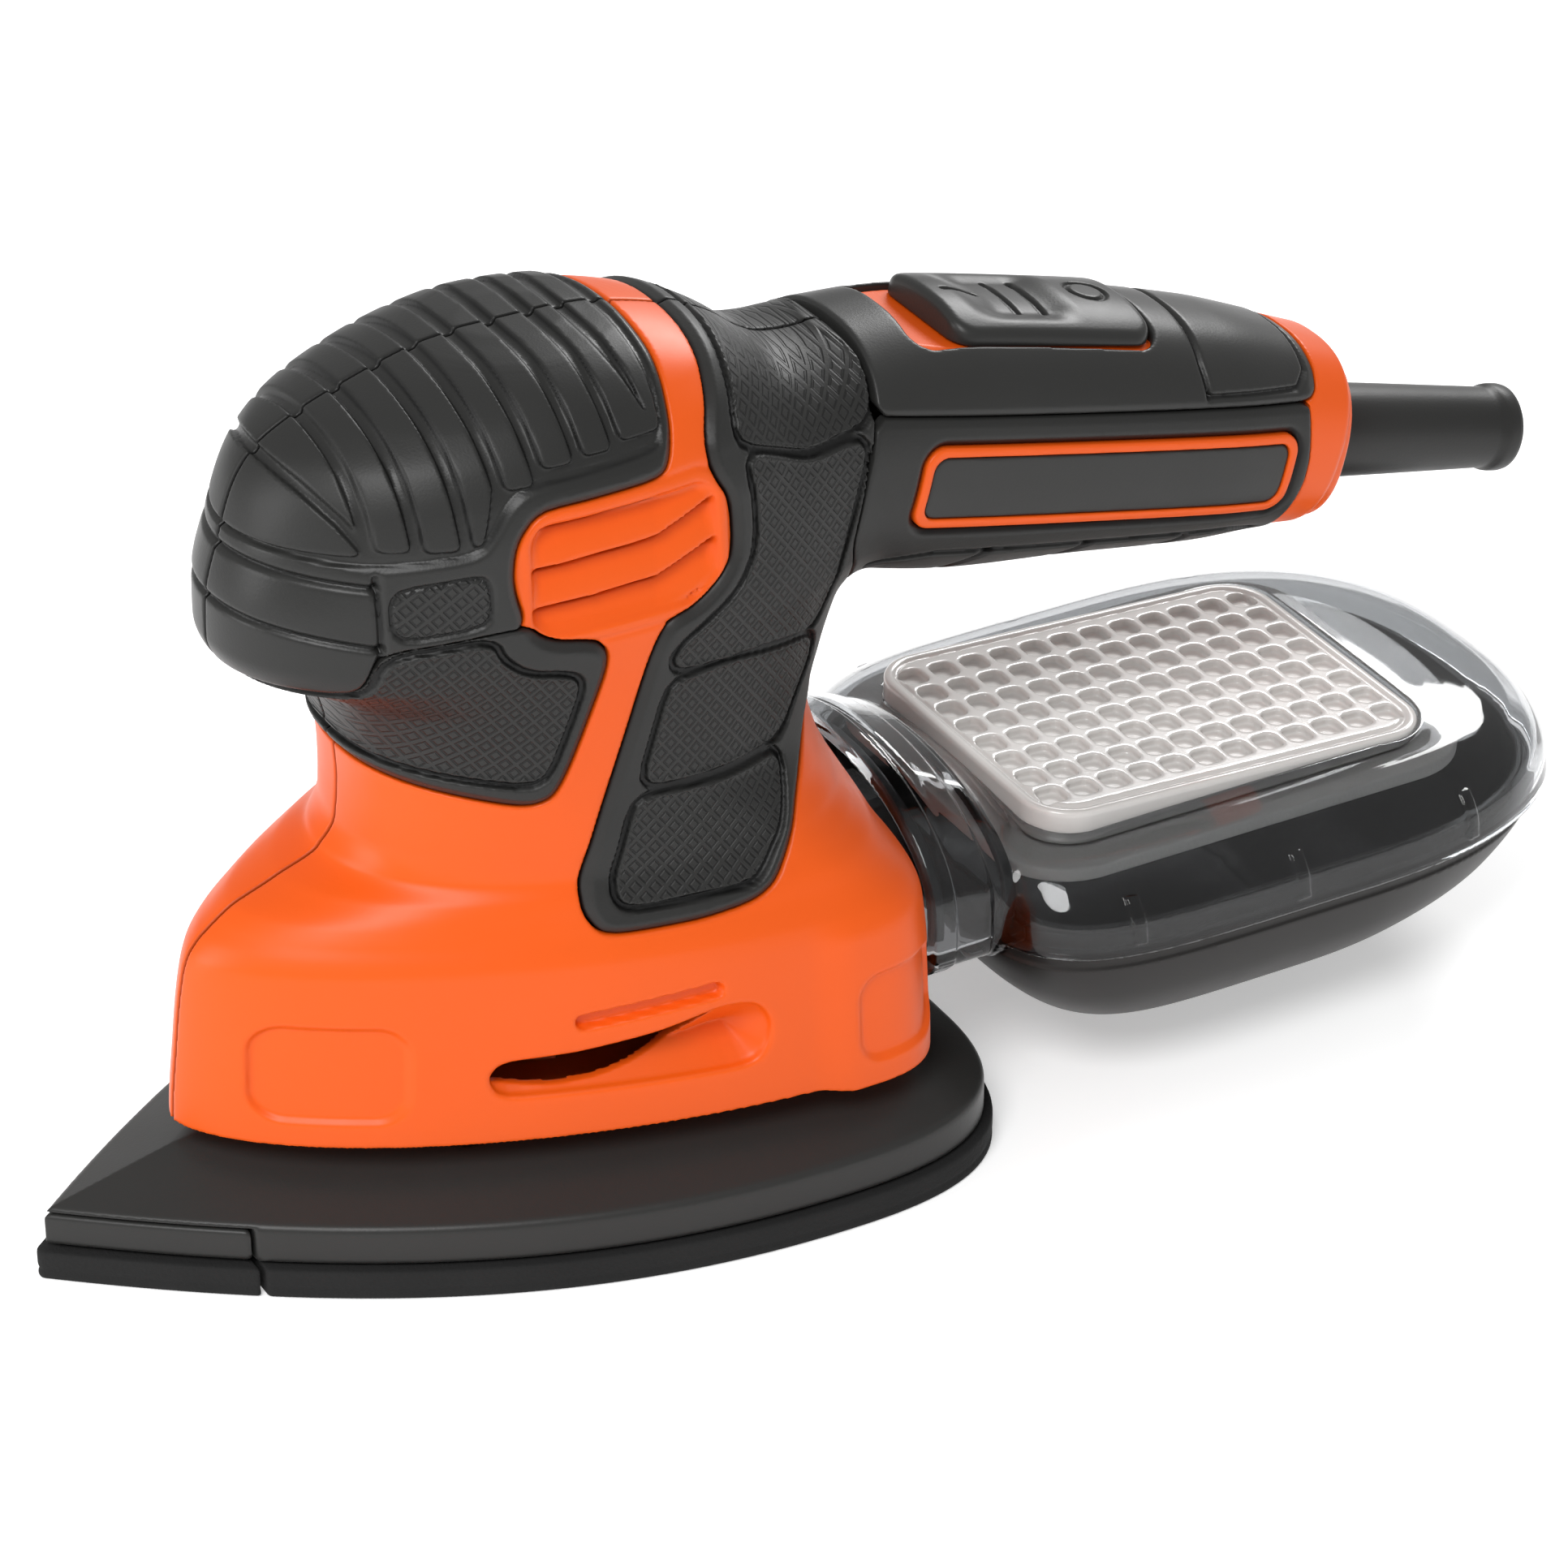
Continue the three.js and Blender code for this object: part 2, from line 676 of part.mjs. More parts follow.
function clampPilots() {
  return [-1, 1]
    .map((side) => crossRod(1.3, -9, 12, ...handlePlace(CLAMP_PLACE, side * CLAMP_SPREAD), 12))
    .reduce((all, bore) => all.add(bore));
}

function cordClamp() {
  const wide = CLAMP_SPREAD + POST_RADIUS;
  const along = [CLAMP_PLACE - 3, CLAMP_PLACE + 3];
  const bar = handleBox(along, [POST_END, POST_END + CLAMP_BAR], [-wide, wide]);
  return bar.subtract(clampPilots());
}

// ---- build the casing pieces ----
const shell = housing();
piece("housing_left", shell.intersect(halves.left), orange);
piece("housing_right", shell.intersect(halves.right), orange);

const skinLayer = casing(0).subtract(casing(GRIP_THICK)).subtract(allBores);
const skinSplit = (name, mask, material) => {
  for (const [side, half] of Object.entries(halves))
    piece(name + "_" + side, skinLayer.intersect(mask).intersect(half), material);
};
skinSplit("nose_grip", flatSkin(NOSE, TOUCH), rubber);
skinSplit("front_grip", flatSkin(FRONT_GRIP, TOUCH), rubber);
skinSplit("rear_grip", flatSkin(REAR_GRIP, TOUCH), rubber);
const gripMask = handleSkin(HANDLE_GRIP, TOUCH).subtract(flatSkin(REAR_GRIP, -TOUCH));
skinSplit("handle_grip", gripMask.subtract(handleSkin(badgeOutline(TOUCH))), rubber);
skinSplit("badge_plate", handleSkin(badgeOutline(0)), plastic);
const clearOfGrip = handleSkin(TOP_COVER, TOUCH).subtract(flatSkin(REAR_GRIP, -TOUCH));
const coverMask = clearOfGrip.subtract(sliderOpening(-30, 30));
piece("handle_cover", skinLayer.intersect(coverMask), plastic);

// ---- switch ----
function slider() {
  const front = SLIDER_BACK - SLIDER_LENGTH;
  const half = SLIDER_WIDTH / 2;
  const under = PAN_TOP + TOUCH;
  const crown = loft(HANDLE_STATIONS.map(station), HANDLE_SIDES, -SLIDER_PROUD);
  const cap = box([front, SLIDER_BACK], [-half, half], [under, 40]).intersect(crown);
  const stemEnds = [STEM_BACK - STEM_LENGTH, STEM_BACK];
  const stem = box(stemEnds, [-STEM_WIDTH / 2, STEM_WIDTH / 2], [7, under + 1]);
  return placeOnHandle(cap.add(stem));
}

function switchBody() {
  const front = SWITCH_BACK - SWITCH_LENGTH;
  const shellBox = handleBox([front, SWITCH_BACK], [-8, 8], [-6, 11.6]);
  const half = STEM_WIDTH / 2 + SLIDE;
  const slot = handleBox([front + 1, SWITCH_BACK - 5], [-half, half], [5, 20]);
  return shellBox.subtract(slot);
}

piece("switch_slider", slider(), plastic);
piece("switch_body", switchBody(), nylon);
piece("capacitor", handleBox([-20, -6], [-6, 6], [-9, 3]), nylon);

// ---- cord sleeve, clamp and clamp screws ----
function cordSleeve() {
  const inner = HANDLE_REACH - 9;
  const profile = [
    [CORD_BORE, inner],
    [SLEEVE_RADIUS + 1.8, inner],
    [SLEEVE_RADIUS + 1.8, inner + 2.6],
    [SLEEVE_RADIUS, inner + 2.6],
    [SLEEVE_RADIUS, HANDLE_REACH + 4],
    [SLEEVE_TIP_RADIUS, SLEEVE_END - 4],
    [SLEEVE_TIP_RADIUS + 0.6, SLEEVE_END - 3],
    [SLEEVE_TIP_RADIUS + 0.6, SLEEVE_END - 0.6],
    [SLEEVE_TIP_RADIUS, SLEEVE_END],
    [CORD_BORE, SLEEVE_END],
  ];
  const points = [...profile, profile[0]].map(([r, s]) => new THREE.Vector2(r, s));
  const geometry = new THREE.LatheGeometry(points, 18);
  geometry.rotateZ(-Math.PI / 2).translate(0, 0, SLEEVE_DROP);
  return solid(onHandle(geometry));
}

function clampScrew(side) {
  const [x, z] = handlePlace(CLAMP_PLACE, side * CLAMP_SPREAD);
  const seat = POST_END + CLAMP_BAR + TOUCH;
  return crossRod(1.1, -6, seat + 1, x, z, 10).add(crossRod(2.3, seat, seat + 1.5, x, z, 14));
}

piece("cord_sleeve", cordSleeve(), rubber);
piece("cord_clamp", cordClamp(), nylon);
piece("clamp_screw_upper", clampScrew(1), steel);
piece("clamp_screw_lower", clampScrew(-1), steel);
for (const [name, { place, seat }] of Object.entries(SCREWS)) piece(name, screw(place, seat), steel);

// ---- motor ----
const STACK_TOP = STATOR_BOTTOM + STACK_HEIGHT;
const degrees = THREE.MathUtils.degToRad;
const BORE_RADIUS = ARMATURE_RADIUS + AIR_GAP;
const COIL = { inner: BORE_RADIUS + 1, outer: BORE_RADIUS + 5.5, from: 42, to: 58, over: 4 };

function stator() {
  let core = ring(BORE_RADIUS, STATOR_RADIUS, STATOR_BOTTOM, STACK_TOP, 28);
  for (const middleAngle of [0, 180])
    for (const side of [-1, 1]) {
      const a = degrees(middleAngle + side * (COIL.from - 1));
      const b = degrees(middleAngle + side * (COIL.to + 1));
      const slot = sector(
        COIL.inner - TOUCH,
        COIL.outer + TOUCH,
        Math.min(a, b),
        Math.max(a, b),
        STATOR_BOTTOM - 1,
        STACK_TOP + 1,
      );
      core = core.subtract(slot);
    }
  return core;
}

function fieldCoil(middleAngle) {
  const bottom = STATOR_BOTTOM - COIL.over;
  const top = STACK_TOP + COIL.over;
  const at = (angle) => degrees(middleAngle + angle);
  const outside = sector(COIL.inner, COIL.outer, at(-COIL.to), at(COIL.to), bottom, top);
  const window = sector(
    COIL.inner - 2,
    COIL.outer + 2,
    at(-COIL.from),
    at(COIL.from),
    STATOR_BOTTOM - TOUCH,
    STACK_TOP + TOUCH,
  );
  return outside.subtract(window);
}

function upperBearingCup() {
  const outer = CUP_RADIUS;
  const seat = UPPER_BEARING_RADIUS + TOUCH;
  const floor = UPPER_BEARING_BOTTOM - TOUCH;
  const top = UPPER_BEARING_BOTTOM + BEARING_HEIGHT + 1;
  return turned([
    [seat - 2, floor - 1.5],
    [outer, floor - 1.5],
    [outer, top],
    [seat, top],
    [seat, floor],
    [seat - 2, floor],
  ]);
}

const BORE_FIT = SHAFT_RADIUS + PILOT_CLEARANCE;
const COMMUTATOR_BOTTOM = STACK_TOP + 7;

piece("stator_core", stator(), iron);
piece("field_coil_front", fieldCoil(180), copper);
piece("field_coil_rear", fieldCoil(0), copper);
piece("armature_core", ring(BORE_FIT, ARMATURE_RADIUS, STATOR_BOTTOM, STACK_TOP, 32), iron);
const winding = (z0, z1) => ring(BORE_FIT + 1.5, ARMATURE_RADIUS - 1, z0, z1);
piece("armature_winding_upper", winding(STACK_TOP + TOUCH, STACK_TOP + 6), copper);
piece("armature_winding_lower", winding(STATOR_BOTTOM - 5.5, STATOR_BOTTOM - TOUCH), copper);
piece(
  "commutator",
  ring(BORE_FIT, COMMUTATOR_RADIUS, COMMUTATOR_BOTTOM, COMMUTATOR_BOTTOM + COMMUTATOR_HEIGHT, 24),
  copper,
);
piece("motor_shaft", rod(SHAFT_RADIUS, SHAFT_BOTTOM, SHAFT_TOP, 0, 0, 20), steel);

// The inner race stands a little proud of the shields.
function bearing(inner, outer, bottom, height) {
  const race = 1.6;
  const top = bottom + height;
  return turned([
    [inner, bottom],
    [outer, bottom],
    [outer, top - 0.5],
    [inner + race, top - 0.5],
    [inner + race, top],
    [inner, top],
  ]);
}

const LOWER_BEARING_BOTTOM = BAFFLE_BOTTOM + BAFFLE_THICK + TOUCH;
const shaftBearing = (radius, bottom) => bearing(BORE_FIT, radius, bottom, BEARING_HEIGHT);
piece("upper_bearing", shaftBearing(UPPER_BEARING_RADIUS, UPPER_BEARING_BOTTOM), steel);
piece("lower_bearing", shaftBearing(LOWER_BEARING_RADIUS, LOWER_BEARING_BOTTOM), steel);
piece("upper_bearing_cup", upperBearingCup(), rubber);

// ---- fan baffle: carries the lower bearing and the tops of the flexible legs ----
const LEG_SOCKET = LEG_RADIUS + ORBIT + SLIDE;

function baffle() {
  const plane = [BAFFLE_BOTTOM, BAFFLE_BOTTOM + BAFFLE_THICK];
  let plate = body(WALL + TOUCH, 18, 2).intersect(box([-90, SKIRT_BACK - 9], [-FAR, FAR], plane));
  const cupTop = LOWER_BEARING_BOTTOM + BEARING_HEIGHT;
  plate = plate.add(rod(LOWER_BEARING_RADIUS + 2.6, BAFFLE_BOTTOM, cupTop));
  for (const [x, y] of LEG_PLACES) {
    plate = plate.add(rod(LEG_SOCKET + 1.6, LEG_TOP - 8, BAFFLE_BOTTOM + 1, x, y, 20));
  }
  plate = plate.subtract(rod(LOWER_BEARING_RADIUS + TOUCH, LOWER_BEARING_BOTTOM - TOUCH, cupTop + 1));
  plate = plate.subtract(rod(LOWER_BEARING_RADIUS - 3, BAFFLE_BOTTOM - 1, cupTop));
  for (const [x, y] of LEG_PLACES) {
    plate = plate.subtract(rod(LEG_SOCKET, LEG_TOP - 9, LEG_TOP + TOUCH, x, y, 20));
  }
  return plate;
}

piece("fan_baffle", baffle(), darkPlastic);

// ---- brushes ----
const BRUSH_MIDDLE = COMMUTATOR_BOTTOM + COMMUTATOR_HEIGHT / 2;
const BRUSH_WALL = 1.4;
const BRUSH_TAIL = 6;

function brushAt(side, from, to, halfWidth, halfHeight) {
  const xs = [side * from, side * to].sort((a, b) => a - b);
  return box(xs, [-halfWidth, halfWidth], [BRUSH_MIDDLE - halfHeight, BRUSH_MIDDLE + halfHeight]);
}

const BRUSH_START = COMMUTATOR_RADIUS + TOUCH;
const HOLDER_START = BRUSH_START + 1.2;
const HOLDER_END = BRUSH_START + BRUSH_LENGTH + BRUSH_TAIL;
const bareHalf = { wide: BRUSH_WIDTH / 2 + TOUCH, tall: BRUSH_HEIGHT / 2 + TOUCH };

function brushHolder(side) {
  const wide = bareHalf.wide + BRUSH_WALL;
  const tall = bareHalf.tall + BRUSH_WALL;
  const outer = brushAt(side, HOLDER_START, HOLDER_END + BRUSH_WALL, wide, tall);
  return outer.subtract(brushAt(side, HOLDER_START - 1, HOLDER_END, bareHalf.wide, bareHalf.tall));
}

function brushSpring(side) {
  const from = BRUSH_START + BRUSH_LENGTH + TOUCH;
  const pitch = (HOLDER_END - TOUCH - from) / 4;
  const upright = 1.6;
  const low = BRUSH_MIDDLE - BRUSH_HEIGHT / 2 + 0.2;
  const high = BRUSH_MIDDLE + BRUSH_HEIGHT / 2 - 0.2 - upright;
  const under = [0, 1, 2, 3, 4].map((i) => [side * (from + i * pitch), i % 2 === 0 ? low : high]);
  const over = [...under].reverse().map(([x, z]) => [x, z + upright]);
  const path = [...under, ...over];
  return across(path, -BRUSH_WIDTH / 4, BRUSH_WIDTH / 4);
}

function brushPlate() {
  const holderBottom = BRUSH_MIDDLE - bareHalf.tall - BRUSH_WALL;
  const outer = STATOR_RADIUS + 1.6;
  return ring(ARMATURE_RADIUS + 1, outer, BRUSH_PLATE_BOTTOM, holderBottom - TOUCH, 28);
}

for (const [name, side] of [["front", -1], ["rear", 1]]) {
  piece("brush_holder_" + name, brushHolder(side), brass);
  const brushEnd = BRUSH_START + BRUSH_LENGTH;
  const brush = brushAt(side, BRUSH_START, brushEnd, BRUSH_WIDTH / 2, BRUSH_HEIGHT / 2);
  piece("carbon_brush_" + name, brush, carbon);
  piece("brush_spring_" + name, brushSpring(side), steel);
}
piece("brush_plate", brushPlate(), nylon);

// ---- fan, counterweight with its eccentric pin, and the bearing on the pin ----
function fan() {
  const disc = 1.6;
  const bladeTop = FAN_BOTTOM + 9.4;
  let wheel = rod(FAN_RADIUS, FAN_BOTTOM, FAN_BOTTOM + disc, 0, 0, 36);
  wheel = wheel.add(rod(7, FAN_BOTTOM, bladeTop, 0, 0, 24));
  for (let i = 0; i < FAN_BLADES; i++) {
    const blade = boxGeometry([5, FAN_RADIUS - 0.6], [-0.7, 0.7], [FAN_BOTTOM + disc / 2, bladeTop]);
    wheel = wheel.add(solid(blade.rotateZ((2 * Math.PI * i) / FAN_BLADES)));
  }
  return wheel.subtract(rod(BORE_FIT, FAN_BOTTOM - 1, bladeTop + 1, 0, 0, 20));
}

const HUB_TOP = PLATEN_BEARING_BOTTOM + PLATEN_BEARING_HEIGHT + TOUCH;
const WEIGHT_BOTTOM = HUB_TOP + 0.6;

function counterweight() {
  const top = FAN_BOTTOM - TOUCH;
  let weight = rod(8, WEIGHT_BOTTOM, top, 0, 0, 24);
  const lobe = sector(6, WEIGHT_RADIUS, degrees(105), degrees(255), WEIGHT_BOTTOM + 1.5, top - 1);
  weight = weight.add(lobe);
  weight = weight.add(rod(PIN_RADIUS, PLATEN_BEARING_BOTTOM - TOUCH, WEIGHT_BOTTOM + 1, ORBIT, 0, 24));
  weight = weight.subtract(rod(BORE_FIT, SHAFT_BOTTOM - TOUCH, top + 1, 0, 0, 20));
  return weight.subtract(rod(2, PLATEN_BEARING_BOTTOM - 2, WEIGHT_BOTTOM - 1, ORBIT, 0, 16));
}

piece("fan", fan(), nylon);
piece("counterweight", counterweight(), steel);

function orbitRing(made) {
  return made.translate([ORBIT, 0, 0]);
}

const platenBearing = bearing(
  PIN_RADIUS + PILOT_CLEARANCE,
  PLATEN_BEARING_RADIUS,
  PLATEN_BEARING_BOTTOM,
  PLATEN_BEARING_HEIGHT,
);
piece("platen_bearing", orbitRing(platenBearing), steel);
const FLANGE_TOP = PLATEN_BEARING_BOTTOM - 2 * TOUCH;
const platenShank = rod(1.7, FLANGE_TOP - 1, WEIGHT_BOTTOM - 2, 0, 0, 14);
const platenFlange = rod(5.6, FLANGE_TOP - 1.4, FLANGE_TOP, 0, 0, 24);
const platenHead = rod(3.6, FLANGE_TOP - 3.4, FLANGE_TOP - 1, 0, 0, 6);
const platenScrew = platenShank.add(platenFlange).add(platenHead);
piece("platen_screw", orbitRing(platenScrew), steel);

// ---- platen, pad, removable tip and flexible legs ----
// Half of a teardrop: a curve from the tip to the widest place, then one round to the flat back.
function teardrop(z, front, back, half) {
  const span = back - front;
  const widest = front + 0.784 * span;
  const shape = new THREE.Path();
  shape.moveTo(front, 0);
  shape.bezierCurveTo(front + 0.243 * span, 0.617 * half, front + 0.474 * span, half, widest, half);
  shape.bezierCurveTo(front + 0.921 * span, half, back, 0.87 * half, back, 0.435 * half);
  shape.lineTo(back, 0);
  const points = shape.getPoints(12);
  return (angle) => {
    const around = THREE.MathUtils.euclideanModulo(angle + Math.PI, 2 * Math.PI);
    const turn = Math.abs(around - Math.PI) / Math.PI;
    const place = (1 - turn) * (points.length - 1);
    const i = Math.min(Math.floor(place), points.length - 2);
    const at = points[i].clone().lerp(points[i + 1], place - i);
    return point(at.x, angle <= Math.PI ? at.y : -at.y, z);
  };
}

const TEARDROP_SIDES = 40;
const platenLevel = (z, inset) =>
  teardrop(z, PLATEN_FRONT + inset, PLATEN_BACK - inset, PLATEN_WIDTH / 2 - inset);
const PLATEN_BOTTOM = PAD_THICK + TOUCH;
const DUST_HOLES = [
  [-40, 0],
  [-19, 18],
  [-19, -18],
  [22, 28],
  [22, -28],
  [44, 0],
];

function dustHoles() {
  const holes = DUST_HOLES.map(([x, y]) => rod(DUST_HOLE_RADIUS, -1, PLATEN_TOP + 1, x, y, 12));
  return holes.reduce((all, hole) => all.add(hole));
}

const aheadOf = (x, z0, z1) => box([-200, x], [-FAR, FAR], [z0, z1]);
const behind = (x, z0, z1) => box([x, 300], [-FAR, FAR], [z0, z1]);
const TIP_TOP = PLATEN_EDGE_TOP - 0.6;

function platen() {
  const top = platenLevel(PLATEN_TOP, PLATEN_SLOPE);
  const levels = [platenLevel(PLATEN_BOTTOM, 0), platenLevel(PLATEN_EDGE_TOP, 0), top];
  let plate = loft(levels, TEARDROP_SIDES);
  plate = plate.add(orbitRing(rod(PLATEN_BEARING_RADIUS + 3, PLATEN_BOTTOM, HUB_TOP)));
  const pocket = rod(PLATEN_BEARING_RADIUS + TOUCH, PLATEN_BEARING_BOTTOM - TOUCH, HUB_TOP + 1);
  const well = rod(PLATEN_BEARING_RADIUS - 2.5, PLATEN_BOTTOM - 1, HUB_TOP);
  plate = plate.subtract(orbitRing(pocket.add(well)));
  plate = plate.subtract(aheadOf(TIP_SPLIT, 0, TIP_TOP + TOUCH));
  plate = plate.subtract(rod(1.6, 0, PLATEN_TOP - 2, TIP_SCREW_PLACE, 0, 12));
  return plate.subtract(dustHoles());
}

const TIP_SCREW_PLACE = -61;

function tipHolder() {
  const outline = loft([platenLevel(PLATEN_BOTTOM, 0), platenLevel(TIP_TOP, 0)], TEARDROP_SIDES);
  const tip = outline.intersect(aheadOf(TIP_SPLIT - TOUCH, 0, 50));
  const head = rod(3.6, 0, PLATEN_BOTTOM + 2.4, TIP_SCREW_PLACE, 0, 16);
  return tip.subtract(head).subtract(rod(1.7, 0, 30, TIP_SCREW_PLACE, 0, 12));
}

function tipScrew() {
  const head = rod(3.2, PLATEN_BOTTOM + 0.4, PLATEN_BOTTOM + 2.1, TIP_SCREW_PLACE, 0, 16);
  return head.add(rod(1.4, PLATEN_BOTTOM + 1, PLATEN_TOP - 2.4, TIP_SCREW_PLACE, 0, 12));
}

const padOutline = loft([platenLevel(0, -PAD_EDGE), platenLevel(PAD_THICK, -PAD_EDGE)], TEARDROP_SIDES);
piece("platen", platen(), plastic);
piece("tip_holder", tipHolder(), plastic);
piece("tip_screw", tipScrew(), steel);
const mainPad = padOutline.intersect(behind(TIP_SPLIT + TOUCH, -1, 9));
piece("sanding_pad", mainPad.subtract(dustHoles()), foam);
piece("tip_pad", padOutline.intersect(aheadOf(TIP_SPLIT - TOUCH, -1, 9)), foam);
["front", "rear_right", "rear_left"].forEach((name, i) => {
  const [x, y] = LEG_PLACES[i];
  const post = rod(LEG_RADIUS, PLATEN_TOP + TOUCH, LEG_TOP, x + ORBIT, y, 18);
  piece("flexible_leg_" + name, post, rubber);
});

// ---- dust box: clear lid with its spout, tray, filter ----
const boxLevel = (z, forward, back, side, widest) =>
  level({
    z,
    front: BOX_FRONT + forward,
    back: BOX_BACK - back,
    half: BOX_WIDTH / 2 - side,
    widest,
    sharp: 5,
    square: 2.6,
  });
const BOX_SIDES = 28;
const LID_LEVELS = [
  boxLevel(BOX_SPLIT, 0, 0, 0, 118),
  boxLevel(BOX_SPLIT + 5, 0.4, 0.8, 0.6, 118),
  boxLevel(BOX_TOP - 4.5, 1.5, 4, 4, 117),
  boxLevel(BOX_TOP - 1.5, 3, 10, 8.5, 115),
  boxLevel(BOX_TOP, 5, 18, 13, 113),
];
const TRAY_LEVELS = [
  boxLevel(BOX_BOTTOM, 22, 46, 20, 106),
  boxLevel(BOX_BOTTOM + 2.2, 16, 32, 12.5, 108),
  boxLevel(BOX_BOTTOM + 6, 9, 18, 6.5, 112),
  boxLevel(BOX_BOTTOM + 12, 4, 7, 3, 116),
  boxLevel(BOX_SPLIT - TOUCH, 0.4, 1.2, 1, 118),
];

function panelShape(margin, radius) {
  const long = PANEL_LENGTH / 2 + margin;
  const wide = PANEL_WIDTH / 2 + margin;
  return roundedRectangle(-long, long, -wide, wide, radius);
}

function lid() {
  const floor = boxLevel(BOX_SPLIT - 6, 0, 0, 0, 118);
  let cover = loft(LID_LEVELS, BOX_SIDES).add(spout(SLIDE + BOX_WALL, SPOUT_FRONT, BOX_FRONT + 17));
  const panel = raised(panelShape(0, 8), BOX_TOP - 3, BOX_TOP + PANEL_RISE, 5);
  const turn = new THREE.Matrix4().makeTranslation(PANEL_MIDDLE, 0, BOX_TOP);
  turn.multiply(new THREE.Matrix4().makeRotationY(PANEL_TILT));
  turn.multiply(new THREE.Matrix4().makeTranslation(0, 0, -BOX_TOP));
  cover = cover.add(panel.transform(turn.toArray()));
  cover = cover.subtract(loft([floor, ...LID_LEVELS], BOX_SIDES, BOX_WALL));
  return cover.subtract(spout(SLIDE, SPOUT_FRONT - 1, BOX_FRONT + 16));
}

function tray() {
  const full = loft(TRAY_LEVELS, BOX_SIDES);
  const lipLevel = (z) => boxLevel(z, 3, 3, 3, 118);
  const lip = loft([lipLevel(BOX_SPLIT - 2), lipLevel(BOX_SPLIT + 2.5)], BOX_SIDES);
  const rimLevel = (z) => boxLevel(z, 2.6, 2.6, 2.8, 118);
  const inside = [...TRAY_LEVELS.slice(0, -1), rimLevel(BOX_SPLIT - 2), rimLevel(BOX_SPLIT + 8)];
  const spoutRoom = spout(SLIDE + BOX_WALL + TOUCH, SPOUT_FRONT, BOX_FRONT + 17);
  return full.add(lip).subtract(loft(inside, BOX_SIDES, BOX_WALL)).subtract(spoutRoom);
}

function filterOutline(margin, z0, z1) {
  const long = FILTER_LENGTH / 2 - margin;
  const wide = FILTER_WIDTH / 2 - margin;
  const radius = Math.max(10 - margin, 3);
  const shape = roundedRectangle(PANEL_MIDDLE - long, PANEL_MIDDLE + long, -wide, wide, radius);
  return raised(shape, z0, z1, 5);
}

const FILTER_RIM = 7;
piece("dust_box_lid", lid(), clear);
piece("dust_box_tray", tray(), darkPlastic);
const frameHole = filterOutline(FILTER_RIM, FILTER_TOP - 9, FILTER_TOP + 1);
piece("filter_frame", filterOutline(0, FILTER_TOP - 2.4, FILTER_TOP).subtract(frameHole), paper);
piece("filter_media", filterOutline(FILTER_RIM + TOUCH, FILTER_TOP - 8, FILTER_TOP - 0.4), paper);

export default group;
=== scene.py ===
# The sander's visible surfaces, made as solids on a fine lattice and meshed, in the frame of the CAD.
import functools
import json
import math

import bpy
import numpy as np
import openvdb
from mathutils import Matrix, Vector


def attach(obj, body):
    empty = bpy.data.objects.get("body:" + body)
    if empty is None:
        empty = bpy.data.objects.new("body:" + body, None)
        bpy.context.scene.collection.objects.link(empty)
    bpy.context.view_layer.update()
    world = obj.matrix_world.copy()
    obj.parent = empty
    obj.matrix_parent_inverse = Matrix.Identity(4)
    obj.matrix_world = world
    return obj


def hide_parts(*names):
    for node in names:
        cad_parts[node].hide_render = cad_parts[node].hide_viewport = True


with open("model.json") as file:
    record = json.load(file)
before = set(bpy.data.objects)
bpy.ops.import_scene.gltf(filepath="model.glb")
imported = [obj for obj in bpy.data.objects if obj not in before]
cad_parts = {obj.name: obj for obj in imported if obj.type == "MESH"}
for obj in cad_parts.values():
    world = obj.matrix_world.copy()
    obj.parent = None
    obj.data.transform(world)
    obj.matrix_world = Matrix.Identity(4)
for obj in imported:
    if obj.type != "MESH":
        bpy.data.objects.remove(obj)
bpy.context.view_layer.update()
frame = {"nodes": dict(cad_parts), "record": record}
NODES = frame["nodes"]

MM = 0.001
STEP = 0.33
FINE_STEP = 0.25
# Half the seam between the halves, the gap round a piece in its bed, and the walls of rubber and shell.
SEAM = 0.13
BED_GAP = 0.12
RUBBER_WALL = 2.6
HANDLE_WALL = 2.2
# How softly the handle flows into the body.
FILLET = 5.0

# ---- the casing's form, close to the CAD's: height, front, back, half width, widest, exponents ----
BODY_ROWS = np.array([
    [10, -57.2, 51, 39.7, 32, 1.6, 4],
    [19, -57.2, 51, 39.7, 32, 1.6, 4],
    [32, -56, 51, 39.1, 32, 1.6, 3.9],
    [44, -54.2, 51, 37.8, 31, 1.6, 3.6],
    [49, -52, 50.2, 36.3, 30, 1.65, 3],
    [53, -47.5, 49, 34.6, 29, 1.7, 2.5],
    [56, -40.5, 47.8, 32.8, 27, 1.85, 2.2],
    [59, -33.4, 46.5, 31.2, 25, 2, 2],
    [63, -30.4, 45, 29.8, 20, 2.2, 2],
    [70, -29.8, 44, 28.2, 12, 2.3, 2],
    [78, -30.5, 46, 27.8, 8, 2.3, 2.1],
    [86, -33, 49, 27.8, 6, 2.3, 2.2],
    [90, -40, 51, 27.9, 5, 2.2, 2.3],
    [93, -46, 52, 28.2, 4, 2.1, 2.4],
    [97, -47.6, 52, 28.5, 3, 2.1, 2.4],
    [103, -47.4, 50, 28.5, 2, 2.1, 2.4],
    [112, -45, 46, 28.4, 0, 2, 2.4],
    [119, -42.6, 41, 27.4, -1, 1.95, 2.3],
    [124, -39, 36, 25.4, -2, 1.9, 2.3],
    [128, -32, 31, 22.5, -2, 1.85, 2.2],
    [131, -23.6, 24.5, 19, -1.5, 1.8, 2.2],
    [133.3, -15.6, 16.5, 14.3, -1, 1.8, 2],
    [134.6, -9, 9, 8, 0, 2, 2],
    [137, -9, 9, 8, 0, 2, 2],
])
BODY_BOTTOM = 19.1
BODY_TOP = 134.4
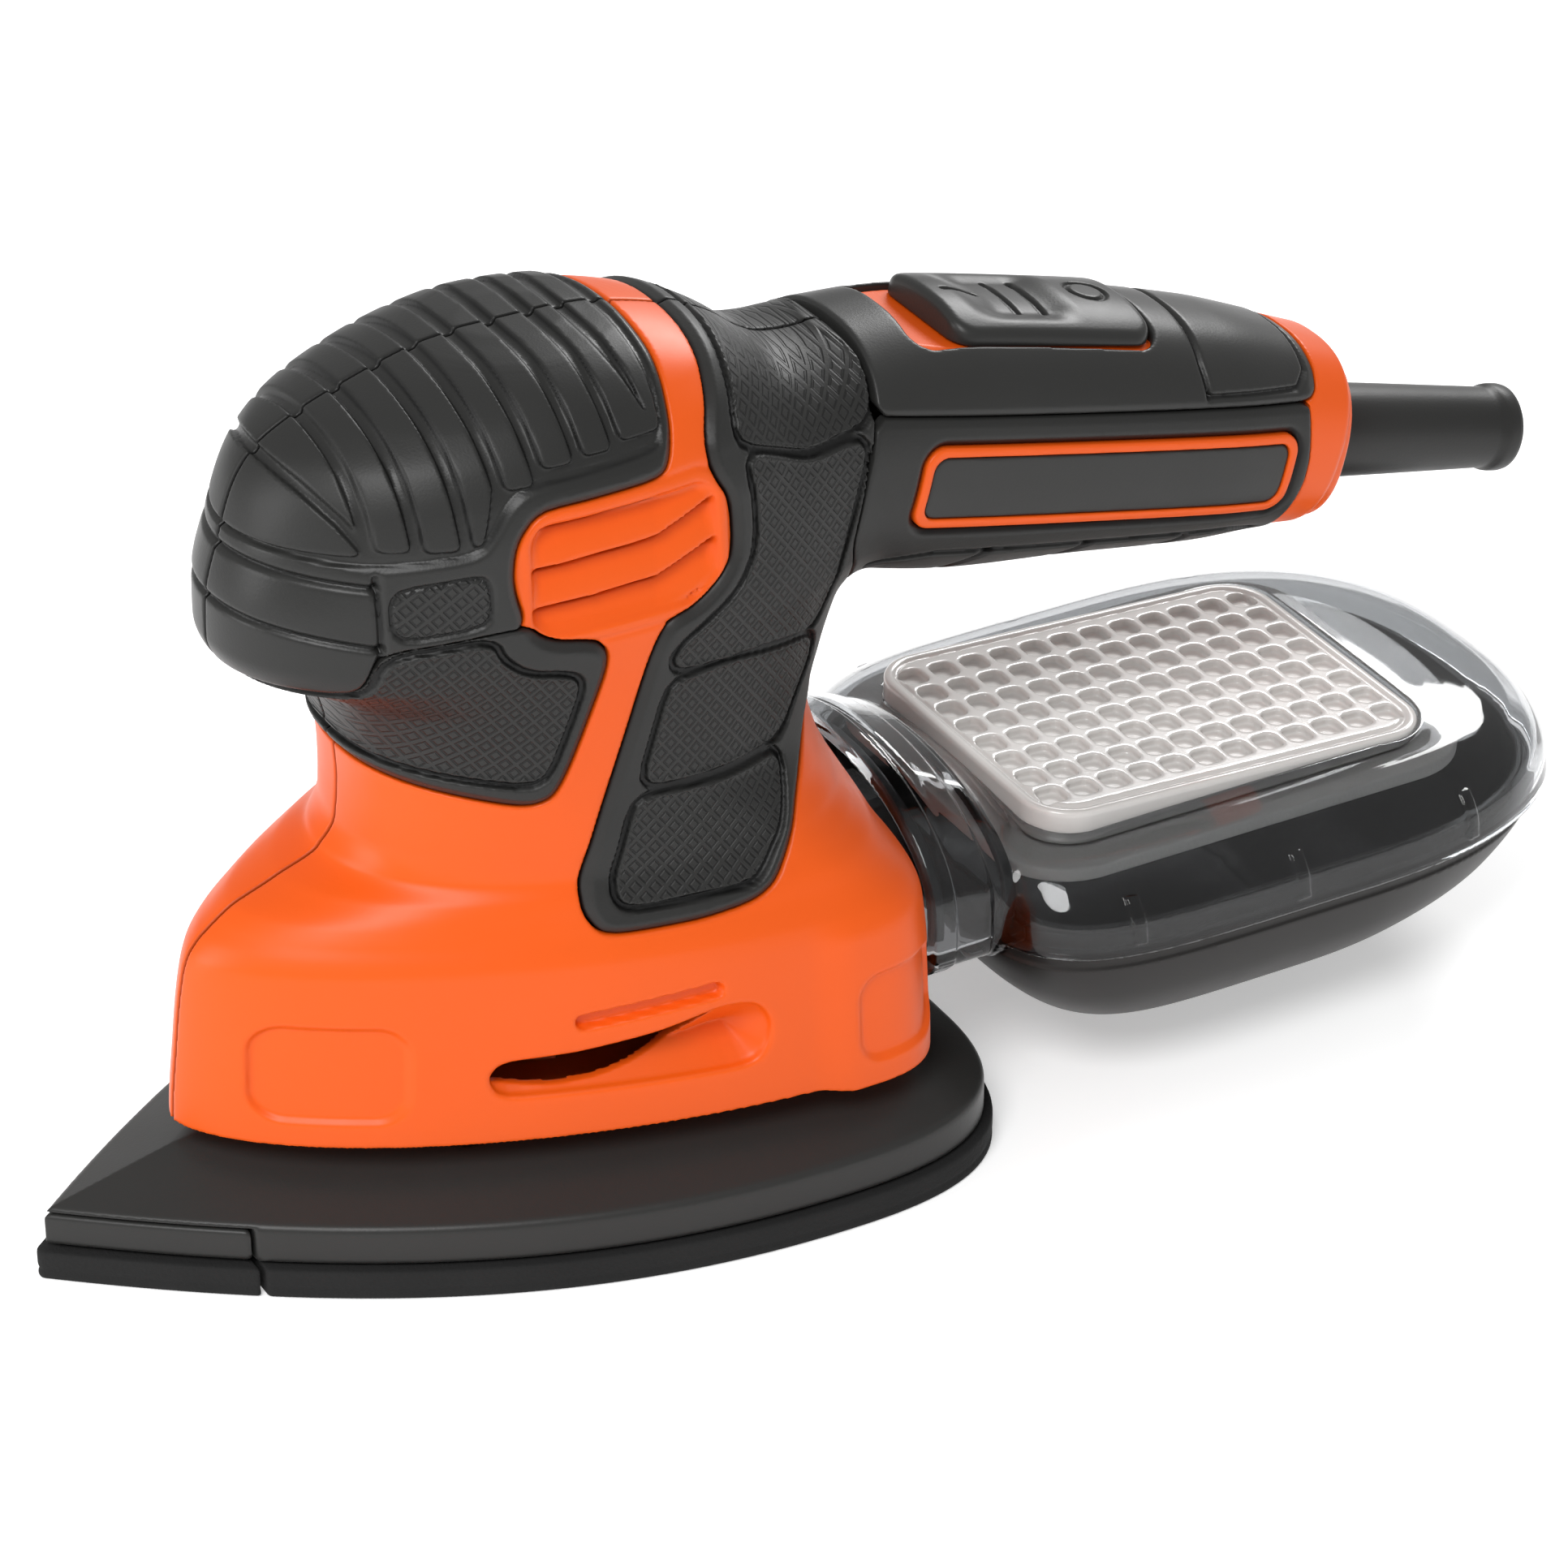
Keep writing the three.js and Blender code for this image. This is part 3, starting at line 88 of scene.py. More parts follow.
# Place along the handle, top, bottom and half width.
HANDLE_ROWS = np.array([
    [-60, 12, 14, 19.9],
    [-46, 12, 14, 19.9],
    [-33, 14.5, 16, 20.3],
    [-20, 18, 18.5, 19.9],
    [0, 21, 19.8, 19.5],
    [24, 20.6, 18, 18.8],
    [45, 19, 16.7, 17.8],
    [58, 16.8, 15, 16.4],
    [68, 15, 14.4, 15.2],
    [80, 13, 13, 13.4],
])
HANDLE_POWER = 2 / 0.84
HANDLE_START = (66.0, 100.2)
HANDLE_FRONT = -34
HANDLE_BACK = 69.9
# Up from the handle's axis: where the hard cover meets the rubber.
COVER_EDGE = 9.2
TILT = math.radians(13.5)
COS, SIN = math.cos(TILT), math.sin(TILT)


def to_handle(x, z):
    """Places in the side view, along the handle's axis and up from it."""
    dx, dz = x - HANDLE_START[0], z - HANDLE_START[1]
    return dx * COS - dz * SIN, dx * SIN + dz * COS


def from_handle(s, n):
    """The same the other way: places along and up from the axis, back in the side view."""
    return HANDLE_START[0] + s * COS + n * SIN, HANDLE_START[1] - s * SIN + n * COS


def smooth_table(rows, squared=()):
    """A dense table of the rows, with no overshoot between them."""
    at = rows[:, 0]
    dense = np.linspace(at[0], at[-1], 1600)
    out = [dense]
    for c in range(1, rows.shape[1]):
        v = rows[:, c] ** 2 if c in squared else rows[:, c]
        slope = np.diff(v) / np.diff(at)
        tangent = np.zeros(len(v))
        for i in range(1, len(v) - 1):
            a, b = slope[i - 1], slope[i]
            if a * b > 0:
                tangent[i] = 2 * a * b / (a + b)
        tangent[0], tangent[-1] = slope[0], slope[-1]
        i = np.clip(np.searchsorted(at, dense) - 1, 0, len(at) - 2)
        h = at[i + 1] - at[i]
        t = (dense - at[i]) / h
        value = ((1 + 2 * t) * (1 - t) ** 2 * v[i] + t * (1 - t) ** 2 * h * tangent[i]
                 + t * t * (3 - 2 * t) * v[i + 1] + t * t * (t - 1) * h * tangent[i + 1])
        out.append(np.sqrt(np.maximum(value, 0)) if c in squared else value)
    return out


BODY_TABLE = smooth_table(BODY_ROWS, squared=(3,))
HANDLE_TABLE = smooth_table(HANDLE_ROWS)


def look_up(table, column, at):
    """One column of a dense table, at the places asked for."""
    return np.interp(at, table[0], table[column]).astype(np.float32)


# ---- lattice and distance helpers ----
class Lattice:
    """Evenly spaced places that fill a box, on whole multiples of the step."""

    def __init__(self, low, high, step):
        self.step = step
        first = [math.floor(a / step) for a in low]
        last = [math.ceil(b / step) for b in high]
        self.low = np.array(first) * step
        axes = [np.arange(a, b + 1, dtype=np.float32) * step for a, b in zip(first, last)]
        self.x = axes[0][:, None, None]
        self.y = axes[1][None, :, None]
        self.z = axes[2][None, None, :]


def true_distance(g, step):
    """Turns a field that is zero on a surface into about the distance from it."""
    parts = np.gradient(g, step)
    length = np.sqrt(parts[0] ** 2 + parts[1] ** 2 + parts[2] ** 2)
    return g / np.maximum(length, 1e-3)


def smooth_min(a, b, k):
    h = np.clip(0.5 + 0.5 * (b - a) / k, 0, 1)
    return b * (1 - h) + a * h - k * h * (1 - h)


def smooth_max(a, b, k):
    return -smooth_min(-a, -b, k)


def union(*fields):
    """The field of what any of the solids covers."""
    return functools.reduce(np.minimum, fields)


def common(*fields):
    """The field of what all of the solids cover."""
    return functools.reduce(np.maximum, fields)


def ramp(v, low, high):
    """Nought below the low value, one above the high one, and a soft rise between."""
    t = np.clip((v - low) / (high - low), 0, 1)
    return t * t * (3 - 2 * t)


def level_form(x, y, z, table):
    """A field that is zero on a form whose level outlines are superellipses, by height."""
    front, back, half, widest, sharp, square = (look_up(table, c, z) for c in range(1, 7))
    dx = x - widest
    behind = dx >= 0
    length = np.maximum(np.where(behind, back - widest, widest - front), 0.3)
    power = np.where(behind, square, sharp)
    u = np.abs(dx) / length
    v = np.abs(y) / np.maximum(half, 0.3)
    return (u ** power + v ** power) ** (1 / power) - 1


def body_field(x, y, z, step):
    """Distance from the casing's body, cut flat below and softly at its crown."""
    d = true_distance(level_form(x, y, z, BODY_TABLE), step)
    return smooth_max(smooth_max(d, BODY_BOTTOM - z, 1.2), z - BODY_TOP, 0.9)


def handle_field(s, y, n, step):
    """Distance from the handle, by places along its axis, across and up from it."""
    top, bottom, half = (look_up(HANDLE_TABLE, c, s) for c in (1, 2, 3))
    tall = np.where(n >= 0, top, bottom)
    u = (np.abs(y) / half) ** HANDLE_POWER + (np.abs(n) / tall) ** HANDLE_POWER
    d = true_distance(u ** (1 / HANDLE_POWER) - 1, step)
    d = smooth_max(d, s - HANDLE_BACK, 2.2)
    return smooth_max(d, HANDLE_FRONT - s, 6.0)


def from_segment(a, b, x, z):
    """Squared distance in the plane from the straight line between two points."""
    ex, ez = b - a
    wx, wz = x - a[0], z - a[1]
    t = np.clip((wx * ex + wz * ez) / (ex * ex + ez * ez), 0, 1)
    return (wx - ex * t) ** 2 + (wz - ez * t) ** 2


def polygon(points, x, z):
    """Distance in the plane from a closed outline, negative inside it."""
    p = np.array(points, np.float32)
    best = np.full(np.broadcast(x, z).shape, 1e9, np.float32)
    inside = np.zeros(best.shape, bool)
    for a, b in zip(p, np.roll(p, -1, 0)):
        best = np.minimum(best, from_segment(a, b, x, z))
        ex, ez = b - a
        inside ^= ((a[1] > z) != (b[1] > z)) & (x - a[0] < ex * (z - a[1]) / (ez if ez else 1e-9))
    return np.where(inside, -1, 1) * np.sqrt(best)


def polyline(points, x, z):
    """Distance in the plane from an open line."""
    p = np.array(points, np.float32)
    best = np.full(np.broadcast(x, z).shape, 1e9, np.float32)
    for a, b in zip(p[:-1], p[1:]):
        best = np.minimum(best, from_segment(a, b, x, z))
    return np.sqrt(best)


CORNER_SHARE = 0.22
LONGEST_CUT = 1.6


def rounded(points, times=2):
    """An outline with its corners cut, again and again, until they are round."""
    p = np.array(points, float)
    for _ in range(times):
        after = np.roll(p, -1, 0)
        length = np.linalg.norm(after - p, axis=1)[:, None]
        cut = np.minimum(CORNER_SHARE, LONGEST_CUT / np.maximum(length, 1e-6))
        p = np.stack([p * (1 - cut) + after * cut, p * cut + after * (1 - cut)], 1).reshape(-1, 2)
    return p


def rounded_box(x, z, x0, x1, z0, z1, r):
    """Distance in the plane from a box with round corners, negative inside it."""
    qx = np.abs(x - (x0 + x1) / 2) - (x1 - x0) / 2 + r
    qz = np.abs(z - (z0 + z1) / 2) - (z1 - z0) / 2 + r
    outside = np.sqrt(np.maximum(qx, 0) ** 2 + np.maximum(qz, 0) ** 2)
    return outside + np.minimum(np.maximum(qx, qz), 0) - r


def groove(distance, width, depth):
    """A soft dip along a line."""
    return -depth * np.exp(-((distance / width) ** 2))


def painted_groove_shade(distance, half):
    """One on a line, none away from it: the painted shade of narrow grooves."""
    return np.clip((half + 0.2 - np.abs(distance)) / 0.4, 0, 1)


def score(h, dark, lines, x, z, width, half):
    """Presses grooves along the lines into a height, and paints shade into them."""
    for points in lines:
        line = polyline(points, x, z)
        h = h + groove(line, width, 0.8)
        dark = np.maximum(dark, painted_groove_shade(line, half))
    return h, dark


# ---- side-view outlines, x and z in millimetres ----
NOSE = [(-70, 93.2), (-33.5, 93.2), (-31, 100), (-16, 101.5), (-11.5, 101.5), (-13.2, 108), (-12.5, 114),
        (-9, 118), (10, 118.3), (12, 121), (14, 128), (17.8, 140), (-70, 140)]
FRONT_GRIP = [(-70, 76.5), (-30, 75.2), (-20, 73.2), (-11, 71), (-7.5, 72), (-5.5, 75.5), (0.3, 91),
              (0.6, 94.5), (-1.5, 97), (-8.5, 98.5), (-11.5, 101.5), (-16, 101.5), (-31, 100),
              (-33.5, 93.2), (-70, 93.2)]
REAR_GRIP = [(-4.7, 54), (-3, 51), (0, 50.3), (12, 50.5), (20, 51.5), (24, 53.5), (31, 62.5), (38, 69),
             (60, 76), (46.5, 84), (43.5, 96), (48, 113.2), (50.2, 122.4), (52, 130), (35, 140), (28, 140),
             (21, 127), (17.6, 121), (18, 116.5), (20.6, 112), (20.6, 104), (18, 100.5), (14, 98),
             (10, 97), (8, 94.5), (3, 80), (-4.5, 58)]
# The same outlines, carried on past the pieces of rubber and grey plastic they meet, so that only
# the edges against the orange shell are bevelled.
NOSE_EDGE = [(-90, 70), (-11.5, 70), (-11.5, 101.5)] + NOSE[5:12] + [(18, 160), (-90, 160)]
FRONT_EDGE = [(-90, 76.5)] + FRONT_GRIP[1:11] + [(-11.5, 125), (-90, 125)]
REAR_EDGE = REAR_GRIP[:9] + [(90, 85), (90, 150), (28, 150)] + REAR_GRIP[15:]
RIB_ZONE = [(-70, 113.4), (-44, 113.4), (-33, 112.2), (-18, 113.4), (-15.6, 116), (-13.4, 119.5),
            (-10.5, 121.6), (9.5, 122.3), (11, 124), (13, 130), (15, 140), (-70, 140)]
NOSE_LINES = [
    [(-60, 111.4), (-44, 111), (-31.2, 109.6)],
    [(-60, 104.2), (-47, 103.6), (-31, 100.6)],
    [(-31, 111), (-31, 100), (-33.4, 93)],
]
NOSE_TEXTURE = [(-29.4, 101.8), (-16.8, 103), (-16.8, 109), (-18, 110.2), (-29.4, 109)]
FRONT_TEXTURE = [(-70, 79.6), (-30, 79), (-20, 77.4), (-9.3, 75.4), (-4.2, 90), (-5.5, 91.8), (-12, 93.2),
                 (-15.8, 96.5), (-17, 99.6), (-30, 98.4), (-32, 92), (-70, 92)]
REAR_TEXTURES = [
    [(23.2, 119.5), (36, 113.6), (47, 114.2), (49.6, 121.5), (46, 122.6), (36, 123.5), (31, 131), (27, 129)],
    [(24.6, 117), (36, 111.4), (46.2, 111.6), (42.2, 100), (40, 92.5), (37.2, 85.2), (27, 87.8), (12, 88.8),
     (10.8, 90.2), (12.4, 92.2), (21.6, 97.6), (25, 103), (25.6, 110)],
    [(10.4, 86.6), (20, 86.9), (36, 83.6), (37, 80), (30.5, 71.4), (20, 71.2), (5.6, 71.8)],
    [(4.6, 69.6), (18, 68.8), (29, 68.9), (26.5, 62), (21.2, 56), (19, 55), (1.6, 54.6), (0.4, 56.4)],
]
# The channels between the nose's raised bands, by their places in X, and where each one stops.
BENT_CHANNEL = -13.9
CHANNELS = [-31.6, -25.8, -19.6, BENT_CHANNEL, -8.2, -2.0, 4.0]
CHANNEL_FLOORS = [114.8, 114.6, 114.8, 121.9, 123.8, 124.2, 124.8]
CHANNEL_HALF = 0.95
CHANNEL_LEAN = 0.07
BANDS_END = 10.2


def rib_pads(x, z):
    """The raised bands across the nose: outside them are the channels."""
    lean = CHANNEL_LEAN * (z - 118)
    front = smooth_max(x - (CHANNELS[0] - CHANNEL_HALF - lean), 114.2 - z, 1.5)
    curl = polyline([(-41, 125.6), (-37, 122), (-34, 118.5), (-32, 115.4)], x, z) - 0.9
    pads = smooth_max(front, -curl, 0.5)
    for left, right, floor in zip(CHANNELS, CHANNELS[1:] + [BANDS_END], CHANNEL_FLOORS):
        end = right - CHANNEL_HALF - lean
        if right == BENT_CHANNEL:
            end = end - np.maximum(0, 122.4 - z) * 0.36
        if right == BANDS_END:
            end = 10.6 + 0.16 * (z - 124)
        pad = smooth_max(left + CHANNEL_HALF - lean - x, x - end, 0.8)
        pads = np.minimum(pads, smooth_max(pad, floor - z, 1.2))
    half = 0.15 + 0.12 * np.clip(z - 127, 0, 7)
    slot = polyline([(7.4, 134.6), (8.4, 131), (9.2, 127.4)], x, z) - half
    return smooth_max(pads, -slot, 0.4)


def nose_height(x, z):
    """How far the rubber lies from the casing's form, and how much shade is painted into its grooves."""
    inside = -polygon(rounded(NOSE_EDGE), x, z)
    h = -1.1 * (1 - np.clip(inside / 1.6, 0, 1))
    # dark is painted shade: along the edge against the orange, the channel edges, the ribbed zone's border,
    # the scored lines and the textured panel's groove.
    dark = painted_groove_shade(inside - 0.1, 0.2)
    zone = polygon(rounded(RIB_ZONE), x, z)
    pads = rib_pads(x, z)
    ribbed = ramp(-zone, 0.0, 0.5)
    h = h - 0.85 * ribbed * ramp(pads, -0.1, 0.4)
    dark = np.maximum(dark, painted_groove_shade(pads - 0.12, 0.16) * ribbed * ramp(x, -33, -27))
    h = h + groove(zone, 0.45, 0.5) * ramp(x, -36, -28)
    dark = np.maximum(dark, 0.8 * painted_groove_shade(zone, 0.12) * ramp(x, -36, -28))
    h, dark = score(h, dark, NOSE_LINES, x, z, 0.5, 0.22)
    panel = polygon(rounded(NOSE_TEXTURE), x, z)
    h = h + groove(panel - 0.2, 0.4, 0.7) - 0.3 * ramp(-panel, 0, 0.8)
    return h, np.maximum(dark, painted_groove_shade(panel - 0.2, 0.2))


def grip_height(edge, panels, x, z):
    """The same for a grip: a bevel at the orange, a flat rim, a groove, and textured panels, with shade
    painted into the groove and along the edge.
    """
    inside = -polygon(rounded(edge), x, z)
    panel = np.minimum.reduce([polygon(rounded(points), x, z) for points in panels]) - 0.3
    cut = ramp(panel, -0.15, 0.25) * ramp(1.2 - panel, -0.1, 0.3)
    h = -1.15 * (1 - np.clip(inside / 1.5, 0, 1)) - 0.95 * cut - 0.3 * ramp(-panel, 0, 0.8)
    # The second value is painted shade in the groove round the panels and along the edge against the orange.
    return h, np.maximum(cut, painted_groove_shade(inside - 0.1, 0.2))


# ---- vents, slots and pressed pads of the orange shell: boxes by their sides and corner radius ----
VENT = (-11.2, 18.8, 98.3, 116.8, 4.2)
LOUVRE_START = 97.2
LOUVRE_PITCH = 6.1
FRONT_PAD = (-49.5, -29.8, 24, 39.3, 4.5)
REAR_PAD = (33.5, 49, 23, 37.3, 4)
SLIT = [(-6.6, 38.3), (12.2, 40.2)]
SLOT = [(-18.5, 27.4), (-20, 30.5), (-18, 33), (-8, 33.4), (4, 35), (13, 37.4), (18, 37),
        (20.2, 33.8), (19.6, 29.6), (17, 27.2)]
SLOT_OPENING = [(-20, 30.4), (-17.5, 29), (-11, 28.2), (-4, 28.6), (2, 29.9), (8, 32.4), (13, 36.6),
                (11, 40), (-20, 36)]


def orange_height(x, z):
    """How far the orange surface lies from the casing's form, how deep it goes, and how much shade is painted
    into its louvre gaps.
    """
    boss = 1.1 * ramp(x, 26, 34) * ramp(-z, -49, -43)
    h = boss - 0.75 * ramp(z, 46.5, 51)
    recess = rounded_box(x, z, *VENT)
    lifted = z - 0.03 * (x + 11) - 0.32 * np.maximum(x - 8.5, 0)
    phase = np.mod((lifted - LOUVRE_START) / LOUVRE_PITCH, 1)
    beside = polygon(rounded(REAR_GRIP), x, z)
    fade = ramp(-recess, 0.2, 2.2) * ramp(beside, 0.6, 3)
    blade = -1.3 - (2.2 * phase ** 1.3 + 1.5 * ramp(phase, 0.86, 0.94)) * fade
    blade = np.where(phase < 0.06, blade - 1.1 * (1 - phase / 0.06) * fade, blade)
    inner = ramp(-recess, 0.0, 1.1) * ramp(beside, 0, 1.4)
    h = h * (1 - inner) + blade * inner
    h = h + groove(recess - 1.5, 0.4, 0.3)
    # Painted shade in the gaps under the louvre blades.
    dark = fade * ramp(phase, 0.78, 0.92)
    slit = polyline(SLIT, x, z) - 1.05
    h = h - 1.5 * ramp(-slit, -0.3, 0.3)
    for lean, pad in ((0.07, FRONT_PAD), (0, REAR_PAD)):
        inside = -rounded_box(x - lean * (z - 31), z, *pad)
        h = h - 0.9 * ramp(inside, -0.5, 0.9)
    deep = 2.4 + 3.6 * ramp(-recess, -1.5, 0.5)
    return h, deep, dark


def slot_scoop(slot, x, z, depth):
    """The orange floor of the side slot: it slopes in from the edge, and stops at the opening."""
    edge = -slot
    top = 1.1 + 0.85 * np.clip(edge, 0, 5)
    opening = polygon(rounded(SLOT_OPENING), x, z)
    sheet = np.maximum(top - depth, depth - top - 1.6)
    return np.maximum(sheet, np.maximum(0.3 - opening, -edge - 1.5))


# ---- meshes ----
def new_mesh(name, verts, quads):
    """A Blender mesh, in metres, from vertices in millimetres."""
    mesh = bpy.data.meshes.new(name)
    loops = quads.reshape(-1).astype(np.int32)
    starts = np.arange(0, len(loops), 4, dtype=np.int32)
    mesh.vertices.add(len(verts))
    mesh.vertices.foreach_set("co", (verts * MM).astype(np.float32).reshape(-1))
    mesh.loops.add(len(loops))
    mesh.loops.foreach_set("vertex_index", loops)
    mesh.polygons.add(len(quads))
    mesh.polygons.foreach_set("loop_start", starts)
    mesh.update(calc_edges=True)
    mesh.shade_smooth()
    return mesh


def sample(field, at):
    """The field between lattice points, by weights of the eight around each place."""
    limit = np.array(field.shape) - 2
    base = np.clip(np.floor(at).astype(int), 0, limit)
    f = at - base
    i, j, k = base.T
    u, v, w = f.T
    c = [[[field[i + a, j + b, k + d] for d in (0, 1)] for b in (0, 1)] for a in (0, 1)]
    low = [[c[a][b][0] * (1 - w) + c[a][b][1] * w for b in (0, 1)] for a in (0, 1)]
    mid = [low[a][0] * (1 - v) + low[a][1] * v for a in (0, 1)]
    return mid[0] * (1 - u) + mid[1] * u


FIELD_LIMIT = 3.0
SETTLE_ROUNDS = 2
LONGEST_MOVE = 0.5


def surface(field, lattice):
    """The zero surface of a field as vertices and quads, with each vertex drawn onto it."""
    volume = openvdb.FloatGrid(FIELD_LIMIT)
    field = np.ascontiguousarray(np.clip(field, -FIELD_LIMIT, FIELD_LIMIT), dtype=np.float32)
    volume.copyFromArray(field)
    points, _, quads = volume.convertToPolygons(isovalue=0.0, adaptivity=0.0)
    at = points.astype(np.float64)
    for _ in range(SETTLE_ROUNDS):
        value = sample(field, at)
        slope = np.stack([
            sample(field, at + offset) - sample(field, at - offset) for offset in np.eye(3) * 0.5
        ], 1)
        size = np.maximum((slope ** 2).sum(1), 0.02)
        move = -(value / size)[:, None] * slope
        at = at + np.clip(move, -LONGEST_MOVE, LONGEST_MOVE)
    verts = lattice.low + at * lattice.step
    a, b, c = (verts[quads[:, i]] for i in (0, 1, 2))
    volume_sign = np.einsum("ij,ij->i", a, np.cross(b, c)).sum()
    if volume_sign < 0:
        quads = quads[:, ::-1]
    return verts, quads


def place(name, verts, quads, body, material, nodes=()):
    """A visible piece that rides on a body and stands for CAD nodes."""
    mesh = new_mesh(name, verts, quads)
    obj = bpy.data.objects.new(name, mesh)
    bpy.context.scene.collection.objects.link(obj)
    mesh.materials.append(material)
    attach(obj, body)
    if nodes:
        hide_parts(*nodes)
    return obj


def store(obj, name, values):
    """Keeps a mark for each vertex, for the materials to read."""
    layer = obj.data.attributes.new(name, "FLOAT", "POINT")
    layer.data.foreach_set("value", np.ascontiguousarray(values, dtype=np.float32))


def store_none(obj, name):
    store(obj, name, np.zeros(len(obj.data.vertices)))


SIDES = (("right", 1), ("left", -1))


def halves(name, verts, quads, body, material, node, marks):
    """The right piece, and the left one that mirrors it, each in place of its CAD node."""
    for side, sign in SIDES:
        v = verts * np.array([1, sign, 1])
        q = quads if sign > 0 else quads[:, ::-1]
        obj = place(name + "_" + side, v, q, body, material, (node + "_" + side,))
        for key, values in marks.items():
            store(obj, key, values)


def both_sides(field, grid):
    """A field worked out for one side, as the field of both and its lattice."""
    whole = np.concatenate([field[:, :0:-1], field], axis=1)
    full = Lattice.__new__(Lattice)
    full.step = grid.step
    full.low = np.array([grid.low[0], -(field.shape[1] - 1) * grid.step, grid.low[2]])
    return whole, full


def middle_piece(name, field, grid, body, material, nodes=()):
    """A piece that crosses the middle plane, from the field of one side."""
    verts, quads = surface(*both_sides(field, grid))
    return place(name, verts, quads, body, material, nodes)


# ---- materials ----
def srgb(value):
    """The linear colour of a written hexadecimal one."""
    channels = [((value >> shift) & 255) / 255 for shift in (16, 8, 0)]
    return [c / 12.92 if c <= 0.04045 else ((c + 0.055) / 1.055) ** 2.4 for c in channels] + [1.0]


class Look:
    """A Principled material with grain, colour drift and, where asked, marks from the mesh."""

    def __init__(self, name, color, rough, metal=0.0, grain=0.04, size=900.0, drift=0.1, sheen=0.5):
        self.made = bpy.data.materials.new(name)
        self.made.use_nodes = True
        self.tree = self.made.node_tree
        self.tree.nodes.clear()
        out = self.node("ShaderNodeOutputMaterial")
        self.main = self.node("ShaderNodeBsdfPrincipled")
        self.link(self.main, "BSDF", out, "Surface")
        self.place = self.node("ShaderNodeTexCoord")
        cloud = self.noise(45.0, 3)
        tint = self.node("ShaderNodeMix", data_type="RGBA")
        base = srgb(color) if isinstance(color, int) else list(color)
        tint.inputs[6].default_value = [c * (1 - drift) for c in base[:3]] + [1]
        tint.inputs[7].default_value = [min(1, c * (1 + drift)) for c in base[:3]] + [1]
        self.tree.links.new(cloud, tint.inputs[0])
        self.color = tint.outputs[2]
        self.rough = self.spread(self.noise(160.0, 4), rough - 0.05, rough + 0.05)
        self.main.inputs["Metallic"].default_value = metal
        self.main.inputs["Specular IOR Level"].default_value = sheen
        self.height = self.math("MULTIPLY", self.noise(size, 2), grain)

    def node(self, kind, **values):
        made = self.tree.nodes.new(kind)
        for key, value in values.items():
            setattr(made, key, value)
        return made

    def link(self, a, out, b, into):
        self.tree.links.new(a.outputs[out], b.inputs[into])

    def noise(self, scale, detail):
        made = self.node("ShaderNodeTexNoise")
        made.inputs["Scale"].default_value = scale
        made.inputs["Detail"].default_value = detail
        self.link(self.place, "Object", made, "Vector")
        return made.outputs["Fac"]

    def math(self, operation, a, b=None):
        made = self.node("ShaderNodeMath", operation=operation)
        for i, value in enumerate((a, b)):
            if value is None:
                continue
            if isinstance(value, (int, float)):
                made.inputs[i].default_value = value
            else:
                self.tree.links.new(value, made.inputs[i])
        return made.outputs[0]

    def spread(self, value, low, high):
        made = self.node("ShaderNodeMapRange")
        made.inputs["To Min"].default_value = low
        made.inputs["To Max"].default_value = high
        self.tree.links.new(value, made.inputs["Value"])
        return made.outputs[0]

    def mark(self, name):
        """A value stored on the mesh for each vertex."""
        return self.node("ShaderNodeAttribute", attribute_name=name).outputs["Fac"]

    def darken(self, value, amount):
        """Multiplies the colour by 1 - amount where value is 1."""
        factor = self.math("SUBTRACT", 1.0, self.math("MULTIPLY", value, amount))
        made = self.node("ShaderNodeVectorMath", operation="SCALE")
        self.tree.links.new(self.color, made.inputs[0])
        self.tree.links.new(factor, made.inputs["Scale"])
        self.color = made.outputs[0]
        return self

    def diamonds(self, pitch=2.0):
        """Small square outlines on a slanted net, in the side view, where the mesh is marked: pressed in as
        bumps, and darkened as painted shade in their fine grooves.
        """
        parts = self.node("ShaderNodeSeparateXYZ")
        self.link(self.place, "Object", parts, "Vector")
        along = self.math("MULTIPLY", parts.outputs["X"], 1000 / pitch)
        up = self.math("MULTIPLY", parts.outputs["Z"], 1000 / pitch)
        tilted = [self.math("ADD", self.math("MULTIPLY", along, a), self.math("MULTIPLY", up, b))
                  for a, b in ((0.79, 0.61), (-0.61, 0.79))]
        edges = [self.math("ABSOLUTE", self.math("SUBTRACT", self.math("FRACT", v), 0.5)) for v in tilted]
        reach = self.math("MAXIMUM", edges[0], edges[1])
        gap = self.math("ABSOLUTE", self.math("SUBTRACT", reach, 0.30))
        ring = self.node("ShaderNodeMapRange", interpolation_type="SMOOTHSTEP")
        ring.inputs["From Min"].default_value = 0.11
        ring.inputs["From Max"].default_value = 0.03
        self.tree.links.new(gap, ring.inputs["Value"])
        line = self.math("MULTIPLY", ring.outputs[0], self.mark("panel"))
        self.height = self.math("SUBTRACT", self.height, self.math("MULTIPLY", line, 0.5))
        # Painted shade in the outlines' fine grooves.
        self.darken(line, 0.6)
        return self

    def finish(self):
        """Joins the colour, roughness and height to the surface, and gives the material."""
        bump = self.node("ShaderNodeBump")
        bump.inputs["Strength"].default_value = 0.6
        bump.inputs["Distance"].default_value = 0.0005
        self.tree.links.new(self.height, bump.inputs["Height"])
        self.link(bump, "Normal", self.main, "Normal")
        self.tree.links.new(self.color, self.main.inputs["Base Color"])
        self.tree.links.new(self.rough, self.main.inputs["Roughness"])
        return self.made


